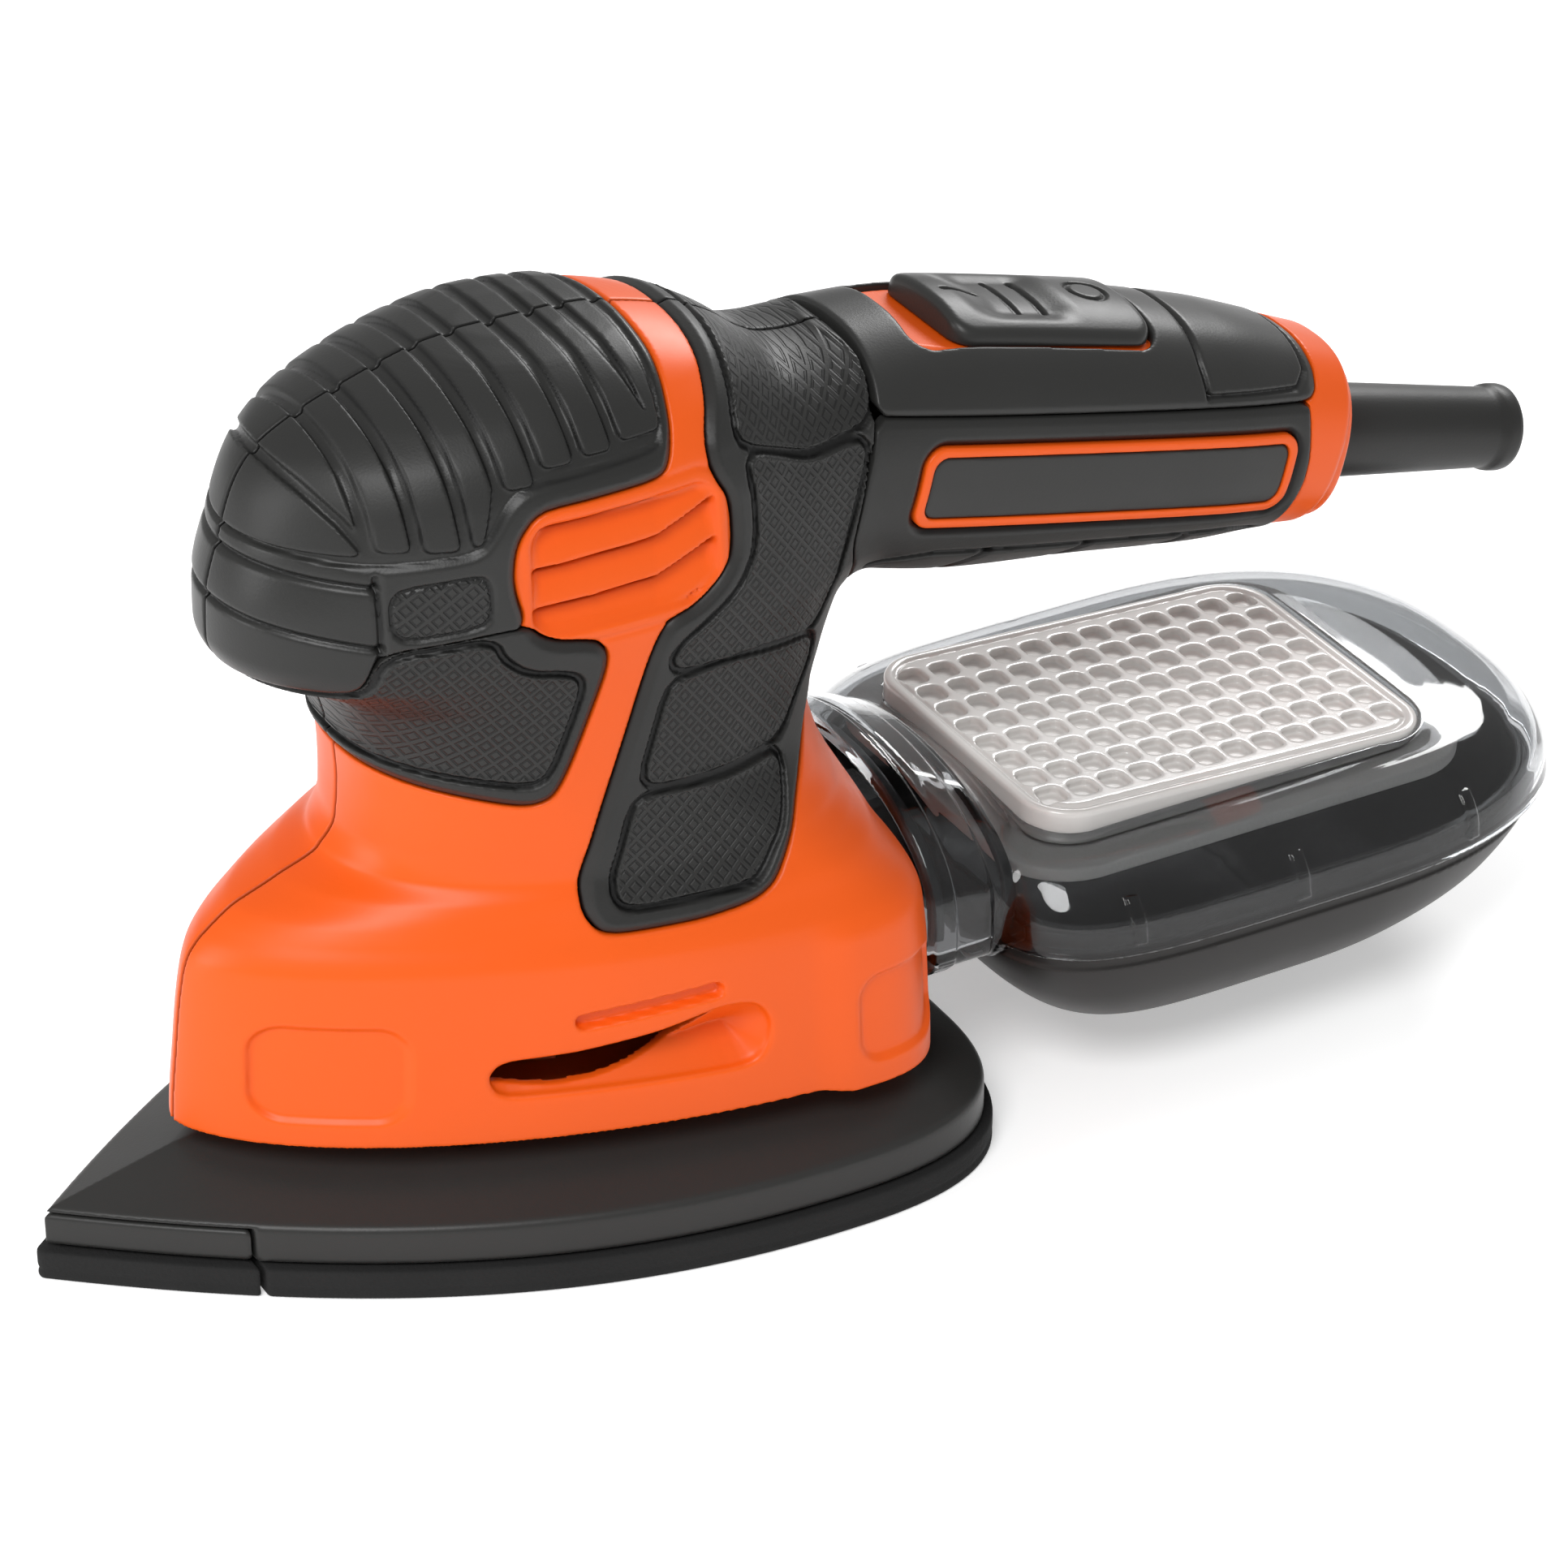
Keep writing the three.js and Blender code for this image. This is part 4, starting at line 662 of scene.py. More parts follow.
def clear_look(name, color, rough, through, ior, coat):
    """Clear plastic under a glossy coat; through says how much light passes."""
    look = Look(name, color, rough + 0.05, grain=0.004, drift=0.02)
    look.main.inputs["Transmission Weight"].default_value = through
    look.main.inputs["IOR"].default_value = ior
    look.main.inputs["Coat Weight"].default_value = coat
    look.main.inputs["Coat IOR"].default_value = 1.5
    look.main.inputs["Coat Roughness"].default_value = 0.04
    look.rough = look.spread(look.noise(60.0, 2), rough, rough + 0.03)
    return look.finish()


def grip_look():
    """Soft rubber with shade painted into its grooves, glossier ribs and, on its panels, diamonds."""
    look = Look("grip_soft_rubber", 0x282827, 0.43, grain=0.06, size=2600, drift=0.06, sheen=0.3)
    # The groove mark darkens the colour as painted shade in grooves and seams.
    look.darken(look.mark("groove"), 0.88)
    look.rough = look.math("SUBTRACT", look.rough, look.math("MULTIPLY", look.mark("gloss"), 0.08))
    return look.diamonds().finish()


def grooved_look(name, color, rough, amount, **values):
    look = Look(name, color, rough, sheen=0.3, **values)
    # The groove mark darkens the colour as painted shade in grooves, louvre gaps and seams.
    return look.darken(look.mark("groove"), amount).finish()


def plain_look(name, color, rough, **values):
    return Look(name, color, rough, **values).finish()


ORANGE = grooved_look("orange_shell_plastic", 0xE8590F, 0.38, 0.55, grain=0.02, size=1500, drift=0.03)
RUBBER = grip_look()
PLAIN_RUBBER = plain_look("sleeve_rubber", 0x282827, 0.42, grain=0.06, size=2600, drift=0.06, sheen=0.3)
PLASTIC = grooved_look("grey_moulded_plastic", 0x2D2D2C, 0.36, 0.88, grain=0.05, size=2400, drift=0.05)
DARK = plain_look("tray_plastic", 0x262423, 0.4, grain=0.01, size=2000, drift=0.05, sheen=0.3)
FOAM = plain_look("pad_foam", 0x242424, 0.85, grain=0.5, size=1800, drift=0.2, sheen=0.2)
PAPER = plain_look("filter_paper", 0xDAD6D2, 0.85, grain=0.3, size=1500, drift=0.04)
CLEAR = clear_look("smoked_clear_plastic", 0xBBBDBF, rough=0.03, through=1.0, ior=1.12, coat=0.7)
FROSTED = clear_look("frosted_clear_plastic", 0xE2DFDC, rough=0.15, through=0.12, ior=1.4, coat=0.4)
STEEL = plain_look("ground_steel", (0.62, 0.63, 0.65, 1), 0.3, metal=1.0, grain=0.06, size=1200, drift=0.08)
IRON = plain_look("laminations", (0.22, 0.23, 0.25, 1), 0.5, metal=1.0, grain=0.4, size=1600, drift=0.2)
COPPER = plain_look("copper", (0.72, 0.33, 0.16, 1), 0.35, metal=1.0, grain=0.3, size=1400, drift=0.12)
BRASS = plain_look("brass", (0.75, 0.56, 0.25, 1), 0.3, metal=1.0, grain=0.05, size=1200, drift=0.1)
CARBON = plain_look("carbon", 0x2A2A2E, 0.55, grain=0.1, drift=0.15)
NYLON = plain_look("black_nylon", 0x232324, 0.45, grain=0.06, size=1800, drift=0.08)
SLOT_LOOKS = {
    "orange_shell": ORANGE, "grip_rubber": PLAIN_RUBBER, "grey_plastic": PLASTIC, "dark_plastic": DARK,
    "pad_foam": FOAM, "clear_plastic": CLEAR, "filter_paper": PAPER, "steel": STEEL, "laminations": IRON,
    "copper": COPPER, "brass": BRASS, "carbon": CARBON, "black_nylon": NYLON,
}
for part in frame["record"]["subparts"]:
    node = NODES[part["node"]]
    node.data.materials.clear()
    node.data.materials.append(SLOT_LOOKS[part["material_slot"]])

# ---- camera and light ----
EYE = Vector((-0.311685, -0.629371, 0.480539))
LENS = 130.43
SENSOR = 36
around, down = math.radians(60.56), math.radians(31.0)
ahead = Vector((math.cos(around) * math.cos(down), math.sin(around) * math.cos(down), -math.sin(down)))
right = Vector((math.sin(around), -math.cos(around), 0))
up = right.cross(ahead)
lens = bpy.data.cameras.new("camera")
lens.lens = LENS
lens.sensor_width = SENSOR
lens.clip_end = 20
camera = bpy.data.objects.new("camera", lens)
bpy.context.scene.collection.objects.link(camera)
turn = Matrix((right, up, -ahead)).transposed().to_4x4()
camera.matrix_world = Matrix.Translation(EYE) @ turn
bpy.context.scene.camera = camera

WHITE = (1, 1, 1, 1)
WORLD_STRENGTH = 0.45
FLOOR_GLOW = 0.4
world = bpy.data.worlds.new("studio")
bpy.context.scene.world = world
world.use_nodes = True
world.node_tree.nodes["Background"].inputs["Color"].default_value = WHITE
world.node_tree.nodes["Background"].inputs["Strength"].default_value = WORLD_STRENGTH
bpy.context.scene.view_settings.view_transform = "Standard"


def lamp(name, at, aim, width, height, power):
    """An oval area light at a place, aimed at another."""
    data = bpy.data.lights.new(name, "AREA")
    data.shape = "ELLIPSE"
    data.size, data.size_y = width, height
    data.energy = power
    obj = bpy.data.objects.new(name, data)
    bpy.context.scene.collection.objects.link(obj)
    obj.location = at
    obj.rotation_euler = (Vector(aim) - Vector(at)).to_track_quat("-Z", "Y").to_euler()


lamp("key", (-0.5, -0.5, 0.9), (0, 0, 0.06), 0.5, 0.5, 6.8)
lamp("side", (-0.95, 0.1, 0.35), (0, 0, 0.08), 0.4, 0.6, 3)
lamp("rim", (0.7, 0.5, 0.6), (0.05, 0, 0.06), 0.5, 0.3, 5)

FLOOR_REACH = 6.0
corners = [(a * FLOOR_REACH, b * FLOOR_REACH, 0) for a, b in ((-1, -1), (1, -1), (1, 1), (-1, 1))]
floor_mesh = bpy.data.meshes.new("floor")
floor_mesh.from_pydata(corners, [], [(0, 1, 2, 3)])
floor = bpy.data.objects.new("floor", floor_mesh)
bpy.context.scene.collection.objects.link(floor)
card = Look("floor_card", (0.9, 0.9, 0.9, 1), 0.9, grain=0.0, drift=0.0)
card.main.inputs["Emission Color"].default_value = WHITE
card.main.inputs["Emission Strength"].default_value = FLOOR_GLOW
floor_mesh.materials.append(card.finish())

# ---- casing ----
lattice = Lattice((-60, -1.2, 17.5), (54, 41.5, 136.5), STEP)
X, Y, Z = lattice.x, lattice.y, lattice.z
s_at, n_at = to_handle(X, Z)
casing = smooth_min(body_field(X, Y, Z, STEP), handle_field(s_at, Y, n_at, STEP), FILLET)
seam = SEAM - Y
# Where the rubber skins and the handle's pieces lie, in the side view.
nose_zone, front_zone, rear_zone = (polygon(rounded(p), X, Z) for p in (NOSE, FRONT_GRIP, REAR_GRIP))
handle_outline = [(-12, -32), (-22.6, -4), (-20.4, COVER_EDGE), (-20.4, 60), (90, 60), (90, -32)]
handle_zone = polygon(handle_outline, s_at, n_at)
covered = union(nose_zone, front_zone, rear_zone, handle_zone)


def flat_places(verts):
    """The vertices' places in the side view."""
    return verts[:, 0].astype(np.float32), verts[:, 2].astype(np.float32)


def panel_mark(verts, outlines):
    """One on the textured panels, none elsewhere."""
    x, z = verts[:, 0], verts[:, 2]
    best = np.full(len(verts), 9.0)
    for points in outlines:
        best = np.minimum(best, polygon(rounded(points), x, z))
    return np.clip(0.5 - best / 0.5, 0, 1)


def skin(name, zone, height, outlines, node):
    """A rubber skin laid into its zone of the casing, on each side."""
    h, _ = height(X, Z)
    field = smooth_max(casing - h, zone + BED_GAP, 0.4)
    field = smooth_max(field, seam, 0.5)
    field = np.maximum(field, -(casing + RUBBER_WALL))
    verts, quads = surface(field, lattice)
    _, dark = height(*flat_places(verts))
    # Painted shade along the seam between the two halves, joined to the painted shade of the grooves.
    middle = 0.9 * np.clip((0.5 - verts[:, 1]) / 0.3, 0, 1)
    marks = {"panel": panel_mark(verts, outlines), "groove": np.maximum(dark, middle)}
    if node == "nose_grip":
        marks["gloss"] = ramp(rib_pads(verts[:, 0], verts[:, 2]), 0.3, 0.7)
    halves(name, verts, quads, "casing", RUBBER, node, marks)


skin("nose_rubber", nose_zone, nose_height, [NOSE_TEXTURE], "nose_grip")
skin("front_rubber", front_zone, lambda x, z: grip_height(FRONT_EDGE, [FRONT_TEXTURE], x, z),
     [FRONT_TEXTURE], "front_grip")
skin("rear_rubber", rear_zone, lambda x, z: grip_height(REAR_EDGE, REAR_TEXTURES, x, z),
     REAR_TEXTURES, "rear_grip")

lift, deep, _ = orange_height(X, Z)
slot = polygon(rounded(SLOT), X, Z)
shell = smooth_max(casing - lift, -(covered - BED_GAP), 0.4)
shell = smooth_max(shell, seam, 0.5)
shell = np.maximum(shell, BODY_BOTTOM + 1 - Z - 1.1 * ramp(X, 26, 33))
shell = np.maximum(shell, -(casing + deep))
shell = smooth_max(shell, -slot, 0.9)
shell = smooth_min(shell, np.maximum(slot_scoop(slot, X, Z, -casing), 0.3 - Y), 0.5)
verts, quads = surface(shell, lattice)
_, _, dark = orange_height(*flat_places(verts))
# Painted shade along the seam between the two halves, joined to that of the louvre gaps.
dark = np.maximum(dark, np.clip((0.45 - verts[:, 1]) / 0.3, 0, 1))
halves("shell", verts, quads, "casing", ORANGE, "housing", {"groove": dark})

# ---- handle ----
hand = Lattice((-26, -21.5, -22), (72, 21.5, 24), STEP * 0.9)
S, V, N = hand.x, hand.y, hand.z
hand_step = hand.step
wx, wz = from_handle(S, N)
grip_form = handle_field(S, V, N, hand_step)
body_there = true_distance(level_form(wx, V, wz, BODY_TABLE), hand_step)
grip_form = smooth_min(grip_form, body_there, FILLET)
rear_there = polygon(rounded(REAR_GRIP), wx, wz)
# Along the handle: where the collar starts. The badge's and the button's boxes: sides and corner radius.
COLLAR = 60.6
COLLAR_FRONT, COLLAR_BACK = 58.2, 66.6
CAP_FRONT, CAP_BACK = 64.0, 68.0
SLEEVE_BORE = 7.6
BADGE_OUTER = (-11, 57, -7.7, 5.1, 3.2)
BADGE_INNER = (-9.5, 55.5, -6.2, 3.6, 2.2)
BUTTON_OPENING = (-11.9, 30.6, -11.8, 11.8, 3.8)
BUTTON = (-4.6, 30, -11.2, 11.2, 3.6)
PAN = (-13, 32, -12.8, 12.8, 3)
PAN_TOP, PAN_BOTTOM = 16.95, 15.4
BUTTON_BOTTOM = 17.15
# Up from the handle's axis: the sleeve's own axis.
SLEEVE_AXIS = -1.5
cover_outline = [(-20.2, COVER_EDGE), (58.4, COVER_EDGE), (COLLAR, COVER_EDGE + 2), (COLLAR, 40), (-19.4, 40)]
cover_mask = np.maximum(polygon(rounded(cover_outline, 1), S, N), -rear_there + 0.1)
grip_outline = [(-20.2, COVER_EDGE), (-22.4, -4), (-21.5, -9), (-15.5, -21), (-12, -40), (58.6, -40),
                (59.2, -10), (60, -1), (58.6, 7), (58.4, COVER_EDGE)]
grip_mask = np.maximum(polygon(rounded(grip_outline, 1), S, N), -rear_there + 0.1)
badge_outer = rounded_box(S, N, *BADGE_OUTER)
badge_inner = rounded_box(S, N, *BADGE_INNER)
opening = rounded_box(S, V, *BUTTON_OPENING)


def to_world(verts):
    """Vertices given along, across and up from the handle's axis, in the frame."""
    x, z = from_handle(verts[:, 0], verts[:, 2])
    return np.stack([x, verts[:, 1], z], 1)


def handle_piece(name, field, material, nodes, height=None):
    """A piece of the handle, with shade painted into its grooves where it has a height."""
    verts, quads = surface(field, hand)
    obj = place(name, to_world(verts), quads, "casing", material, nodes)
    if height is None:
        store_none(obj, "groove")
    else:
        store(obj, "groove", height(*flat_places(verts))[1])
    return obj


def cover_height(s, n):
    """The cover's grooves and bevels, and how much shade is painted into the grooves."""
    cross = polyline([(38.4, 11), (37.4, 15), (37.2, 24)], s, n)
    border = polyline([(38.4, 11), (56, 11.2), (58.2, 13.2), (58.4, 24)], s, n)
    h = groove(cross, 0.45, 0.8) + groove(border, 0.4, 0.7)
    h = h - 0.5 * (1 - ramp(n, COVER_EDGE, COVER_EDGE + 1.4)) - 0.5 * ramp(s, 57.8, COLLAR)
    return h, np.maximum(painted_groove_shade(cross, 0.2), painted_groove_shade(border, 0.2))


def lower_height(s, n):
    """The same for the rubber half, with its rim round the badge, and shade painted into its grooves and
    round the badge.
    """
    inside = -rounded_box(s, n, *BADGE_OUTER)
    h = -0.9 * ramp(inside, -1.6, 0.0)
    h = h - 0.35 * (1 - ramp(-n, -COVER_EDGE, -COVER_EDGE + 1.2))
    # Painted shade in the groove round the badge's rim.
    dark = painted_groove_shade(inside + 0.5, 0.5)
    lines = [[(-14, -15), (-4, -12.6), (20, -12.2), (50, -11.2), (56, -12)]]
    lines += [[(at + 4, -12.4), (at, -16), (at - 3, -22)] for at in (2, 20, 38)]
    return score(h, dark, lines, s, n, 0.45, 0.2)


cover = smooth_max(grip_form - cover_height(S, N)[0], cover_mask + 0.1, 0.5)
cover = smooth_max(cover, -opening, 0.7)
cover = np.maximum(cover, -(grip_form + HANDLE_WALL))
handle_piece("cover_plastic", cover, PLASTIC, ("handle_cover",), cover_height)

lower = smooth_max(grip_form - lower_height(S, N)[0], grip_mask + 0.1, 0.5)
lower = smooth_max(lower, -(badge_outer - 0.1), 0.5)
lower = np.maximum(lower, -(grip_form + HANDLE_WALL))
plate = np.maximum(smooth_max(grip_form + 0.45, badge_inner + 0.1, 0.4), -(grip_form + 2))
border = smooth_max(smooth_max(grip_form + 0.1, badge_outer, 0.5), -badge_inner, 0.4)
border = np.maximum(border, -(grip_form + HANDLE_WALL))
for side, sign in SIDES:
    half = smooth_max(lower, SEAM - sign * V, 0.5)
    grip_nodes, plate_nodes = ("handle_grip_" + side,), ("badge_plate_" + side,)
    rubber = handle_piece("handle_rubber_" + side, half, RUBBER, grip_nodes, lower_height)
    store_none(rubber, "panel")
    plate_half = np.maximum(plate, -sign * V)
    handle_piece("badge_field_" + side, plate_half, PLASTIC, plate_nodes)
    border_half = np.maximum(border, -sign * V)
    handle_piece("badge_border_" + side, border_half, ORANGE, ())

collar = np.maximum(COLLAR_FRONT - S, grip_form + 0.35)
collar = np.maximum(collar, -np.minimum(cover_mask, grip_mask) + 0.15)
collar = smooth_max(collar, S - COLLAR_BACK - 0.09 * N, 1.2)
sleeve_bore = np.sqrt(V ** 2 + (N - SLEEVE_AXIS) ** 2) - SLEEVE_BORE
collar = smooth_max(collar, -sleeve_bore, 0.4)
collar = np.maximum(collar, -(grip_form + 4))
end_cap = common(CAP_FRONT - S, grip_form + 0.9, -sleeve_bore, S - CAP_BACK)
# The orange floor that shows round the button.
pan = common(rounded_box(S, V, *PAN), N - PAN_TOP, PAN_BOTTOM - N, grip_form + 1.4)
handle_piece("collar_and_pan", union(collar, end_cap, pan), ORANGE, ())

# ---- slider ----
button = Lattice((-8, -13, 16), (33, 13, 25), FINE_STEP)
bs, bv, bn = button.x, button.y, button.z


def button_cuts(s, v):
    """Distance from the marks pressed into the button: a dash, two bars and a ring."""
    return np.minimum.reduce([
        polyline([(-1.4, 0), (4.2, 0)], s, v) - 0.4,
        polyline([(8.6, -5.4), (9.2, 5.4)], s, v) - 0.42,
        polyline([(13.2, -5.4), (13.8, 5.4)], s, v) - 0.42,
        np.abs(np.sqrt((s - 23.6) ** 2 + v ** 2) - 3.0) - 0.38,
    ])


crown = handle_field(bs, bv, bn, button.step) - 0.8
crown = crown + 1.3 * ramp(bs, -1, 6) * ramp(-bs, -19, -13) * ramp(-np.abs(bv), -9.5, -5)
crown = crown + 0.5 * ramp(-button_cuts(bs, bv), -0.25, 0.2)
cap = smooth_max(rounded_box(bs, bv, *BUTTON), crown, 1.3)
verts, quads = surface(smooth_max(cap, BUTTON_BOTTOM - bn, 0.3), button)
slider = place("slide_button", to_world(verts), quads, "switch", PLASTIC, ("switch_slider",))
near = button_cuts(verts[:, 0].astype(np.float32), verts[:, 1].astype(np.float32))
# Painted shade in the marks pressed into the button's top.
store(slider, "groove", np.clip(0.5 - near / 0.4, 0, 1) * (verts[:, 2] > 19))

# ---- cord sleeve: its outline by place along the handle and radius, turned round its axis ----
SLEEVE_PROFILE = [(61, 3.2), (61, 9.2), (63.6, 9.2), (63.6, 7.4), (66, 7.6), (68, 7.5), (69.5, 7.4),
                  (74, 7.3), (85, 6.95), (98, 6.5), (103.6, 6.3), (104.6, 6.35), (105.2, 6.7), (106, 6.8),
                  (107.2, 6.8), (107.9, 6.65), (108.3, 6.2), (108.45, 5.6), (108.2, 4.6), (107, 3.6),
                  (104, 3.2)]
SLEEVE_SIDES = 72


def turned(profile, sides):
    """A closed outline turned round the first axis, as vertices and quads."""
    angles = np.linspace(0, 2 * math.pi, sides, endpoint=False)
    rows = [[(a, r * math.cos(t), r * math.sin(t)) for t in angles] for a, r in profile]
    count = len(profile)
    i, j = np.meshgrid(np.arange(count), np.arange(sides), indexing="ij")
    here, after = i * sides, ((i + 1) % count) * sides
    beside = (j + 1) % sides
    quads = np.stack([here + j, after + j, after + beside, here + beside], -1).reshape(-1, 4)
    return np.array(rows).reshape(-1, 3), quads


verts, quads = turned(SLEEVE_PROFILE, SLEEVE_SIDES)
sleeve_verts = to_world(verts + np.array([0, 0, SLEEVE_AXIS]))
place("sleeve", sleeve_verts, quads, "casing", PLAIN_RUBBER, ("cord_sleeve",))

# ---- platen, tip and pads ----
PLATEN_FRONT, PLATEN_BACK, PLATEN_HALF = -77.8, 61.0, 46.0
PLATEN_TOP, PLATEN_BOTTOM = 16.5, 5.1
# The two curves of one side, as shares of the length and of the half width.
TEARDROP_CURVES = [
    [(0, 0), (0.243, 0.617), (0.474, 1), (0.784, 1)],
    [(0.784, 1), (0.921, 1), (1, 0.87), (1, 0.435)],
]
CURVE_POINTS = 40
# Where the finger tip parts from the platen, and the shaft's eccentric.
TIP_SPLIT = -53
ECCENTRIC = 0.8
HOLES = [(-40, 0), (-19, 18), (22, 28), (44, 0)]
HOLE_RADIUS = 4
HUB_RADIUS, HUB_TOP = 14, 22.6
SEAT_RADIUS, SEAT_FLOOR = 11.3, 15
TIP_TOP, TIP_BOTTOM = 10.3, 5.2
TIP_SCREW_X, TIP_SCREW_RADIUS, TIP_SCREW_TOP = -61, 3.6, 7.5
PAD_TOP, PAD_BOTTOM, PAD_MARGIN = 4.75, 0.02, 1.38


def teardrop_outline():
    """The platen's outline, seen from above."""
    length = PLATEN_BACK - PLATEN_FRONT
    t = np.linspace(0, 1, CURVE_POINTS)[:, None]
    curve = []
    for shares in TEARDROP_CURVES:
        a, b, c, d = (np.array([PLATEN_FRONT + u * length, v * PLATEN_HALF]) for u, v in shares)
        curve.append((1 - t) ** 3 * a + 3 * (1 - t) ** 2 * t * b + 3 * (1 - t) * t * t * c + t ** 3 * d)
    side = np.concatenate([curve[0], curve[1][1:]])
    other = side[::-1] * np.array([1, -1])
    return np.concatenate([side, other[:-1]])


base = Lattice((-81, -0.1, -1.2), (64, 49, 24), STEP)
bx, by, bz = base.x, base.y, base.z
plan = polygon(teardrop_outline(), bx, by)
holes = union(*(np.sqrt((bx - hx) ** 2 + (by - hy) ** 2) - HOLE_RADIUS for hx, hy in HOLES))
y_zero = int(round(-base.low[1] / base.step))


def base_piece(name, field, material, node):
    """A piece that rides on the platen."""
    obj = middle_piece(name, field[:, y_zero:], base, "platen", material, (node,))
    store_none(obj, "groove")


slope = (5.5 * plan + 14 * (bz - 11.0)) / 15.04
plate = smooth_max(smooth_max(plan, slope, 1.0), common(bz - PLATEN_TOP, PLATEN_BOTTOM - bz), 0.7)
hub = np.sqrt((bx - ECCENTRIC) ** 2 + by ** 2)
plate = union(plate, common(hub - HUB_RADIUS, bz - HUB_TOP, PLATEN_BOTTOM - bz))
plate = common(plate, -common(hub - SEAT_RADIUS, SEAT_FLOOR - bz))
plate = smooth_max(plate, -common(bx - TIP_SPLIT + 0.2, bz - 10.55), 0.5)
plate = smooth_max(plate, -holes, 0.6)
base_piece("platen_body", plate, PLASTIC, "platen")
tip = smooth_max(smooth_max(plan, common(bz - TIP_TOP, TIP_BOTTOM - bz), 0.9), bx - TIP_SPLIT + 0.5, 0.9)
screw_well = np.sqrt((bx - TIP_SCREW_X) ** 2 + by ** 2) - TIP_SCREW_RADIUS
tip = common(tip, -common(screw_well, bz - TIP_SCREW_TOP))
base_piece("tip_body", tip, PLASTIC, "tip_holder")
# The foam is a little wider than the plastic, with a fine line round it.
pad = smooth_max(plan - PAD_MARGIN, common(bz - PAD_TOP, PAD_BOTTOM - bz), 0.5)
pad = pad + 0.25 * np.exp(-(((bz - 1.5) / 0.35) ** 2))
main_pad = smooth_max(smooth_max(pad, TIP_SPLIT + 0.35 - bx, 0.5), -holes, 0.5)
base_piece("pad_main", main_pad, FOAM, "sanding_pad")
base_piece("pad_tip", smooth_max(pad, bx - TIP_SPLIT + 0.35, 0.5), FOAM, "tip_pad")

# ---- dust box: rows of height, how far in from the front, back and side, and the widest place ----
BOX_FRONT, BOX_BACK, BOX_HALF = 62, 171, 43.5
BOX_SPLIT = 27.7
LID_TOP = 42.0
# The spout's arch: its height by X, its base line, half width, drop below the base and squareness.
ARCH_X = [50, 58, 66, 73, 79, 90]
ARCH_TOP = [50, 50, 47, 40.5, 37, 34.6]
ARCH_BASE, ARCH_HALF, ARCH_DROP = 34.5, 27, 8
ARCH_POWER = 6.67
TAB_PLACES = (80, 108, 140)
TRAY_BOTTOM, LIP_TOP, LIP_BOTTOM = 7.7, 30.4, 20
# The lid's raised panel: its place, sides, corner radius and slope.
PANEL_MIDDLE, PANEL_HEIGHT = 108, 43.45
PANEL_TILT = math.radians(2.9)
PANEL = (73, 143, -27, 27, 8)


def box_rows(rows):
    """A table for level_form, with blunt ends, from rows given as distances in from the box's sides."""
    made = [[z, BOX_FRONT + f, BOX_BACK - b, BOX_HALF - s, w, 5, 2.6] for z, f, b, s, w in rows]
    return smooth_table(np.array(made, float))


LID_TABLE = box_rows([(20, 0, 0, 0, 118), (28, 0, 0, 0, 118), (33, 0.4, 0.8, 0.6, 118),
                      (37.5, 1.5, 4, 4, 117), (40.5, 3, 10, 8.5, 115), (42.2, 5, 18, 13, 113),
                      (44, 6, 20, 15, 113)])
TRAY_TABLE = box_rows([(4, 26, 54, 24, 106), (7.6, 22, 46, 20, 106), (9.8, 16, 32, 12.5, 108),
                       (13.6, 9, 18, 6.5, 112), (19.6, 4, 7, 3, 116), (BOX_SPLIT, 0.5, 1.2, 1, 118),
                       (31, 0.2, 0.6, 0.5, 118)])
box_grid = Lattice((49, 0, 5), (172.5, 45, 54.5), STEP)
dx, dy, dz = box_grid.x, box_grid.y, box_grid.z
box_step = box_grid.step


def arch_form(margin):
    """The spout's arch, which sinks into the lid towards the back, made larger by the margin."""
    top = np.interp(dx, ARCH_X, ARCH_TOP).astype(np.float32)
    half = ARCH_HALF + margin
    rise = top + margin - ARCH_BASE
    drop = ARCH_DROP + margin
    tall = dz - ARCH_BASE
    upper = np.sqrt((dy / half) ** 2 + (tall / rise) ** 2)
    lower = ((dy / half) ** ARCH_POWER + (np.abs(tall) / drop) ** ARCH_POWER) ** (1 / ARCH_POWER)
    return true_distance(np.where(tall >= 0, upper, lower) - 1, box_step)


lid_form = true_distance(level_form(dx, dy, dz, LID_TABLE), box_step)
lid_outer = smooth_max(lid_form, dz - LID_TOP, 2.5)
arch_outer = arch_form(2.2)
# The spout steps out twice towards its mouth.
steps = 0.7 * ramp(-dx, -56.2, -55.6) + 0.5 * ramp(-dx, -62.6, -62)
spout = common(smooth_max(arch_outer - steps + 0.3, 52.1 - dx, 0.6), dx - 82)
tabs = union(*(np.abs(dx - at) for at in TAB_PLACES)) - 1.1
tabs = smooth_max(common(tabs, np.abs(dz - 33.5) - 3.4), lid_form - 0.55, 0.4)
outer = union(smooth_min(lid_outer, spout, 2.0), tabs)
hollow = common(smooth_max(lid_form + 1.8, dz - LID_TOP + 1.8, 2.0), BOX_FRONT + 1.8 - dx, 26.2 - dz)
spout_bore = common(arch_form(0.4), dx - 78, 51 - dx)
lid = common(outer, -hollow, -spout_bore)
panel_hole = common(rounded_box(dx, dy, *PANEL) - BED_GAP, 36 - dz)
lid = smooth_max(lid, -panel_hole, 0.4)
below = np.where((arch_outer < 0.6) & (dx < 72), 24.0, BOX_SPLIT + 0.4).astype(np.float32)
lid = common(lid, below - dz)
middle_piece("lid_clear", lid, box_grid, "dust_box", CLEAR, ("dust_box_lid",))

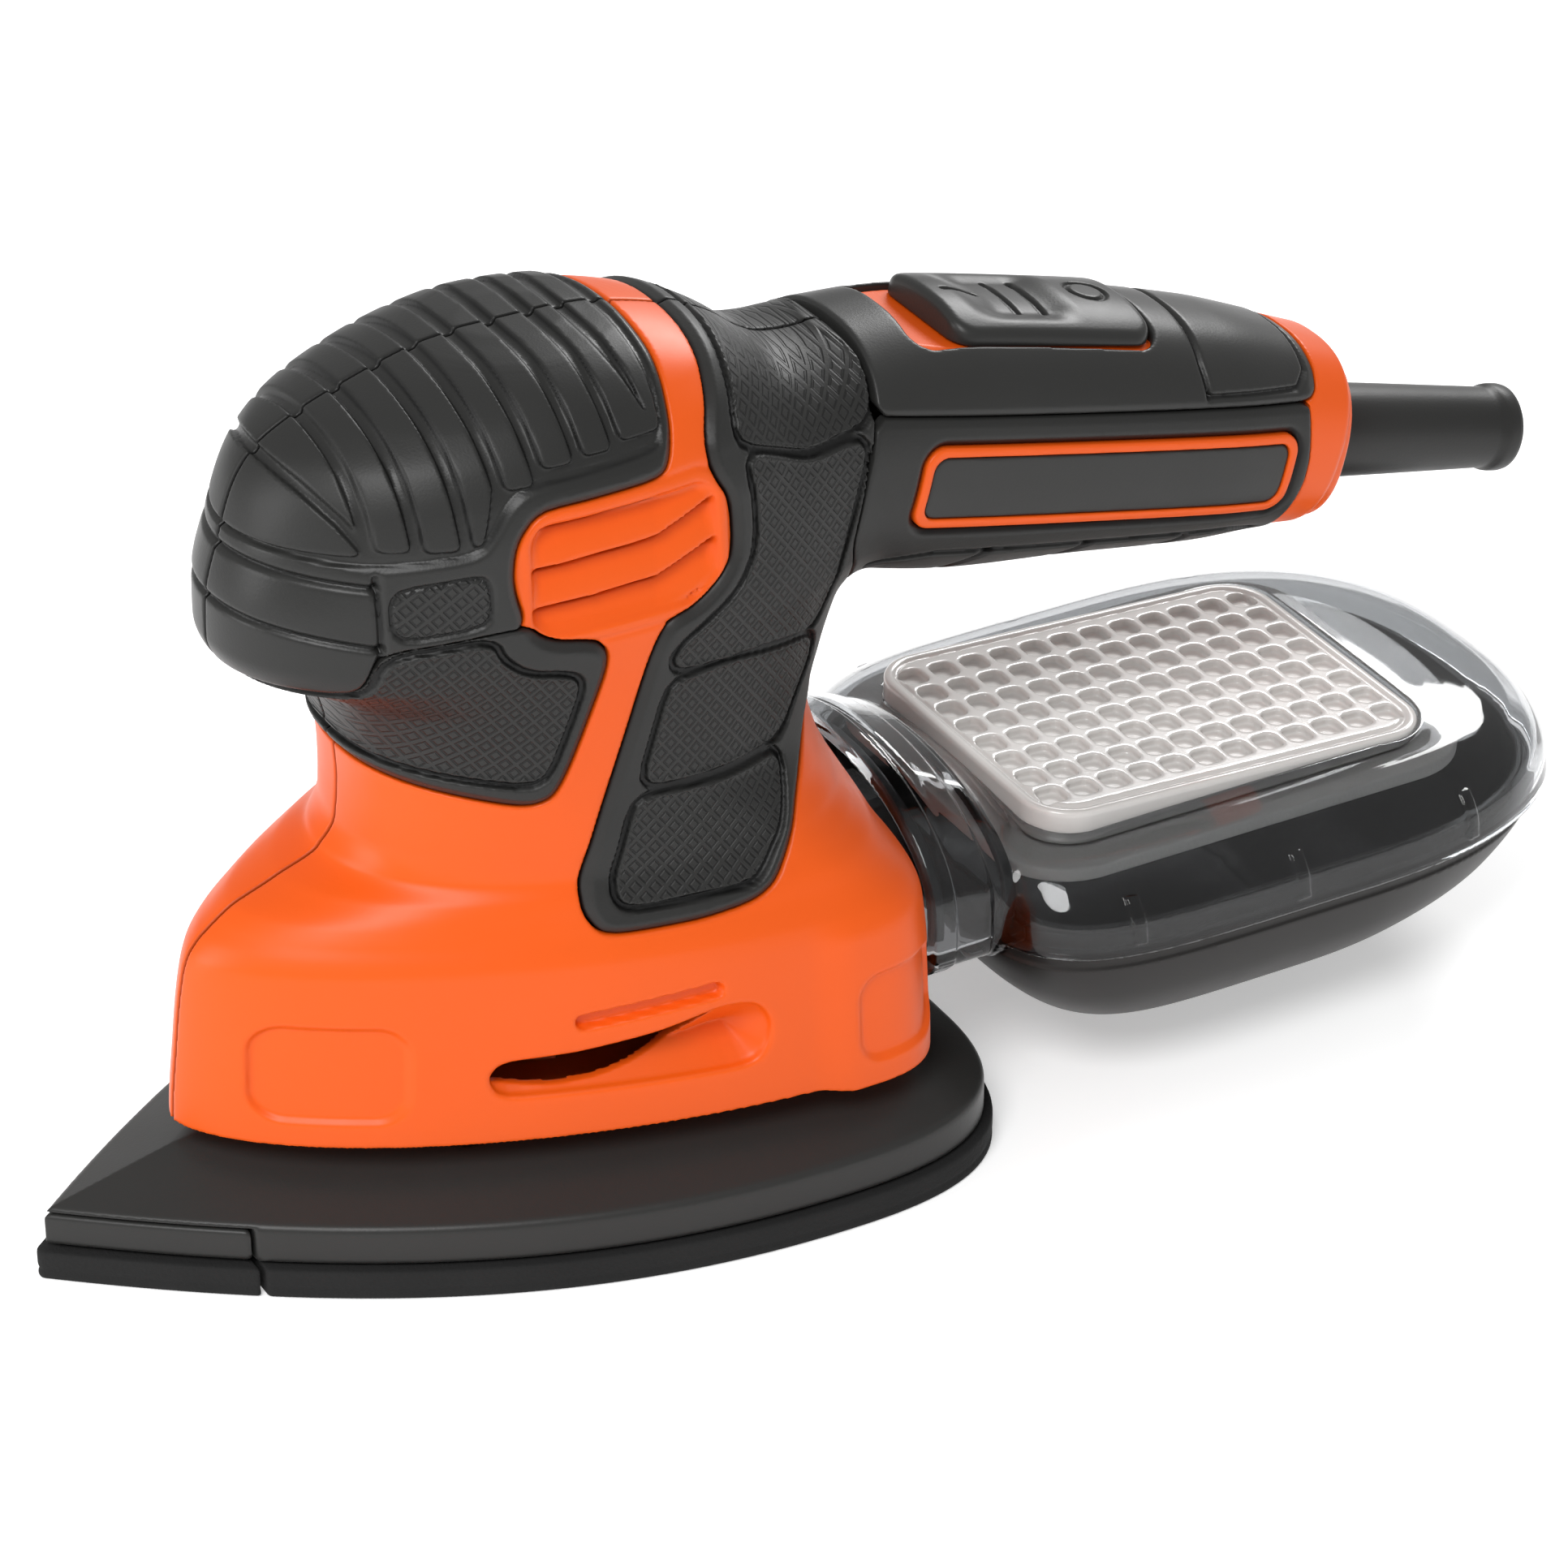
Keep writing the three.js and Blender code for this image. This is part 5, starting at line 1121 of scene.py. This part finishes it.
# The raised panel of the lid, with its rows of rounded wells.
WELL = (-2.15, 2.15, -2.25, 2.25, 1.4)
WELL_PITCH_X, WELL_PITCH_Y = 5.5, 5.75
WELLS_X, WELLS_Y = WELL_PITCH_X * 6, WELL_PITCH_Y * 4
tile_grid = Lattice((72, 0, 38), (144.5, 28, 46.5), FINE_STEP)
tx, ty, tz = tile_grid.x, tile_grid.y, tile_grid.z
level = (tz - PANEL_HEIGHT) * math.cos(PANEL_TILT) + (tx - PANEL_MIDDLE) * math.sin(PANEL_TILT)
tile_plan = rounded_box(tx, ty, *PANEL)
cell_x = np.mod(tx - PANEL_MIDDLE + WELLS_X, WELL_PITCH_X) - WELL_PITCH_X / 2
cell_y = np.mod(ty, WELL_PITCH_Y) - WELL_PITCH_Y / 2
wells_area = rounded_box(tx, ty, PANEL_MIDDLE - WELLS_X, PANEL_MIDDLE + WELLS_X, -WELLS_Y, WELLS_Y, 0.1)
well = common(rounded_box(cell_x, cell_y, *WELL), wells_area)
well = smooth_max(well + 0.15 * (level + 1.3), -1.3 - level, 0.4)
tile = smooth_max(tile_plan, level, 0.9)
tile = tile + 0.45 * np.exp(-(((tile_plan + 2.0) / 0.4) ** 2)) * (level > -1.5)
tile = smooth_max(tile, -well, 0.5)
tile = common(tile, 39.3 - tz, -common(tile_plan + 1.6, level + 2.6))
middle_piece("lid_panel", tile, tile_grid, "dust_box", FROSTED)

# Two dark rings inside the spout.
bands = union(np.abs(dx - 54.3) - 0.8, np.abs(dx - 66.6) - 1.0)
rings = common(arch_form(0.25), -arch_form(-1.2), bands, 30.4 - dz)
middle_piece("spout_rings", rings, box_grid, "dust_box", NYLON)

# The filter's pale frame, round its pleated sheet.
FRAME_OUTER = (67.5, 148.5, -32.5, 32.5, 12)
FRAME_INNER = (76.7, 139.3, -21.8, 21.8, 4)
FRAME_HEIGHT = 37.6
rim = smooth_max(rounded_box(dx, dy, *FRAME_OUTER), np.abs(dz - FRAME_HEIGHT) - 1.1, 0.5)
rim = smooth_max(rim, -rounded_box(dx, dy, *FRAME_INNER), 0.5)
middle_piece("filter_rim", rim, box_grid, "filter", PAPER, ("filter_frame",))

# The tray: a bowl with a lip that stands up into the lid, cut away under the spout.
tray_form = true_distance(level_form(dx, dy, dz, TRAY_TABLE), box_step)
tray = smooth_max(tray_form, TRAY_BOTTOM - dz, 1.6)
tray = smooth_max(tray, dz - BOX_SPLIT, 0.4)
tray = common(tray, tray_form + 0.5 * ramp(dz, 25.4, 25.9))
lip = common(tray_form + 3.2, dz - LIP_TOP, LIP_BOTTOM - dz)
tray = union(tray, lip)
tray = common(tray, -common(tray_form + 4.6, 9.5 - dz), -common(arch_form(2.5), dx - 79))
middle_piece("tray_dark", tray, box_grid, "tray", DARK, ("dust_box_tray",))
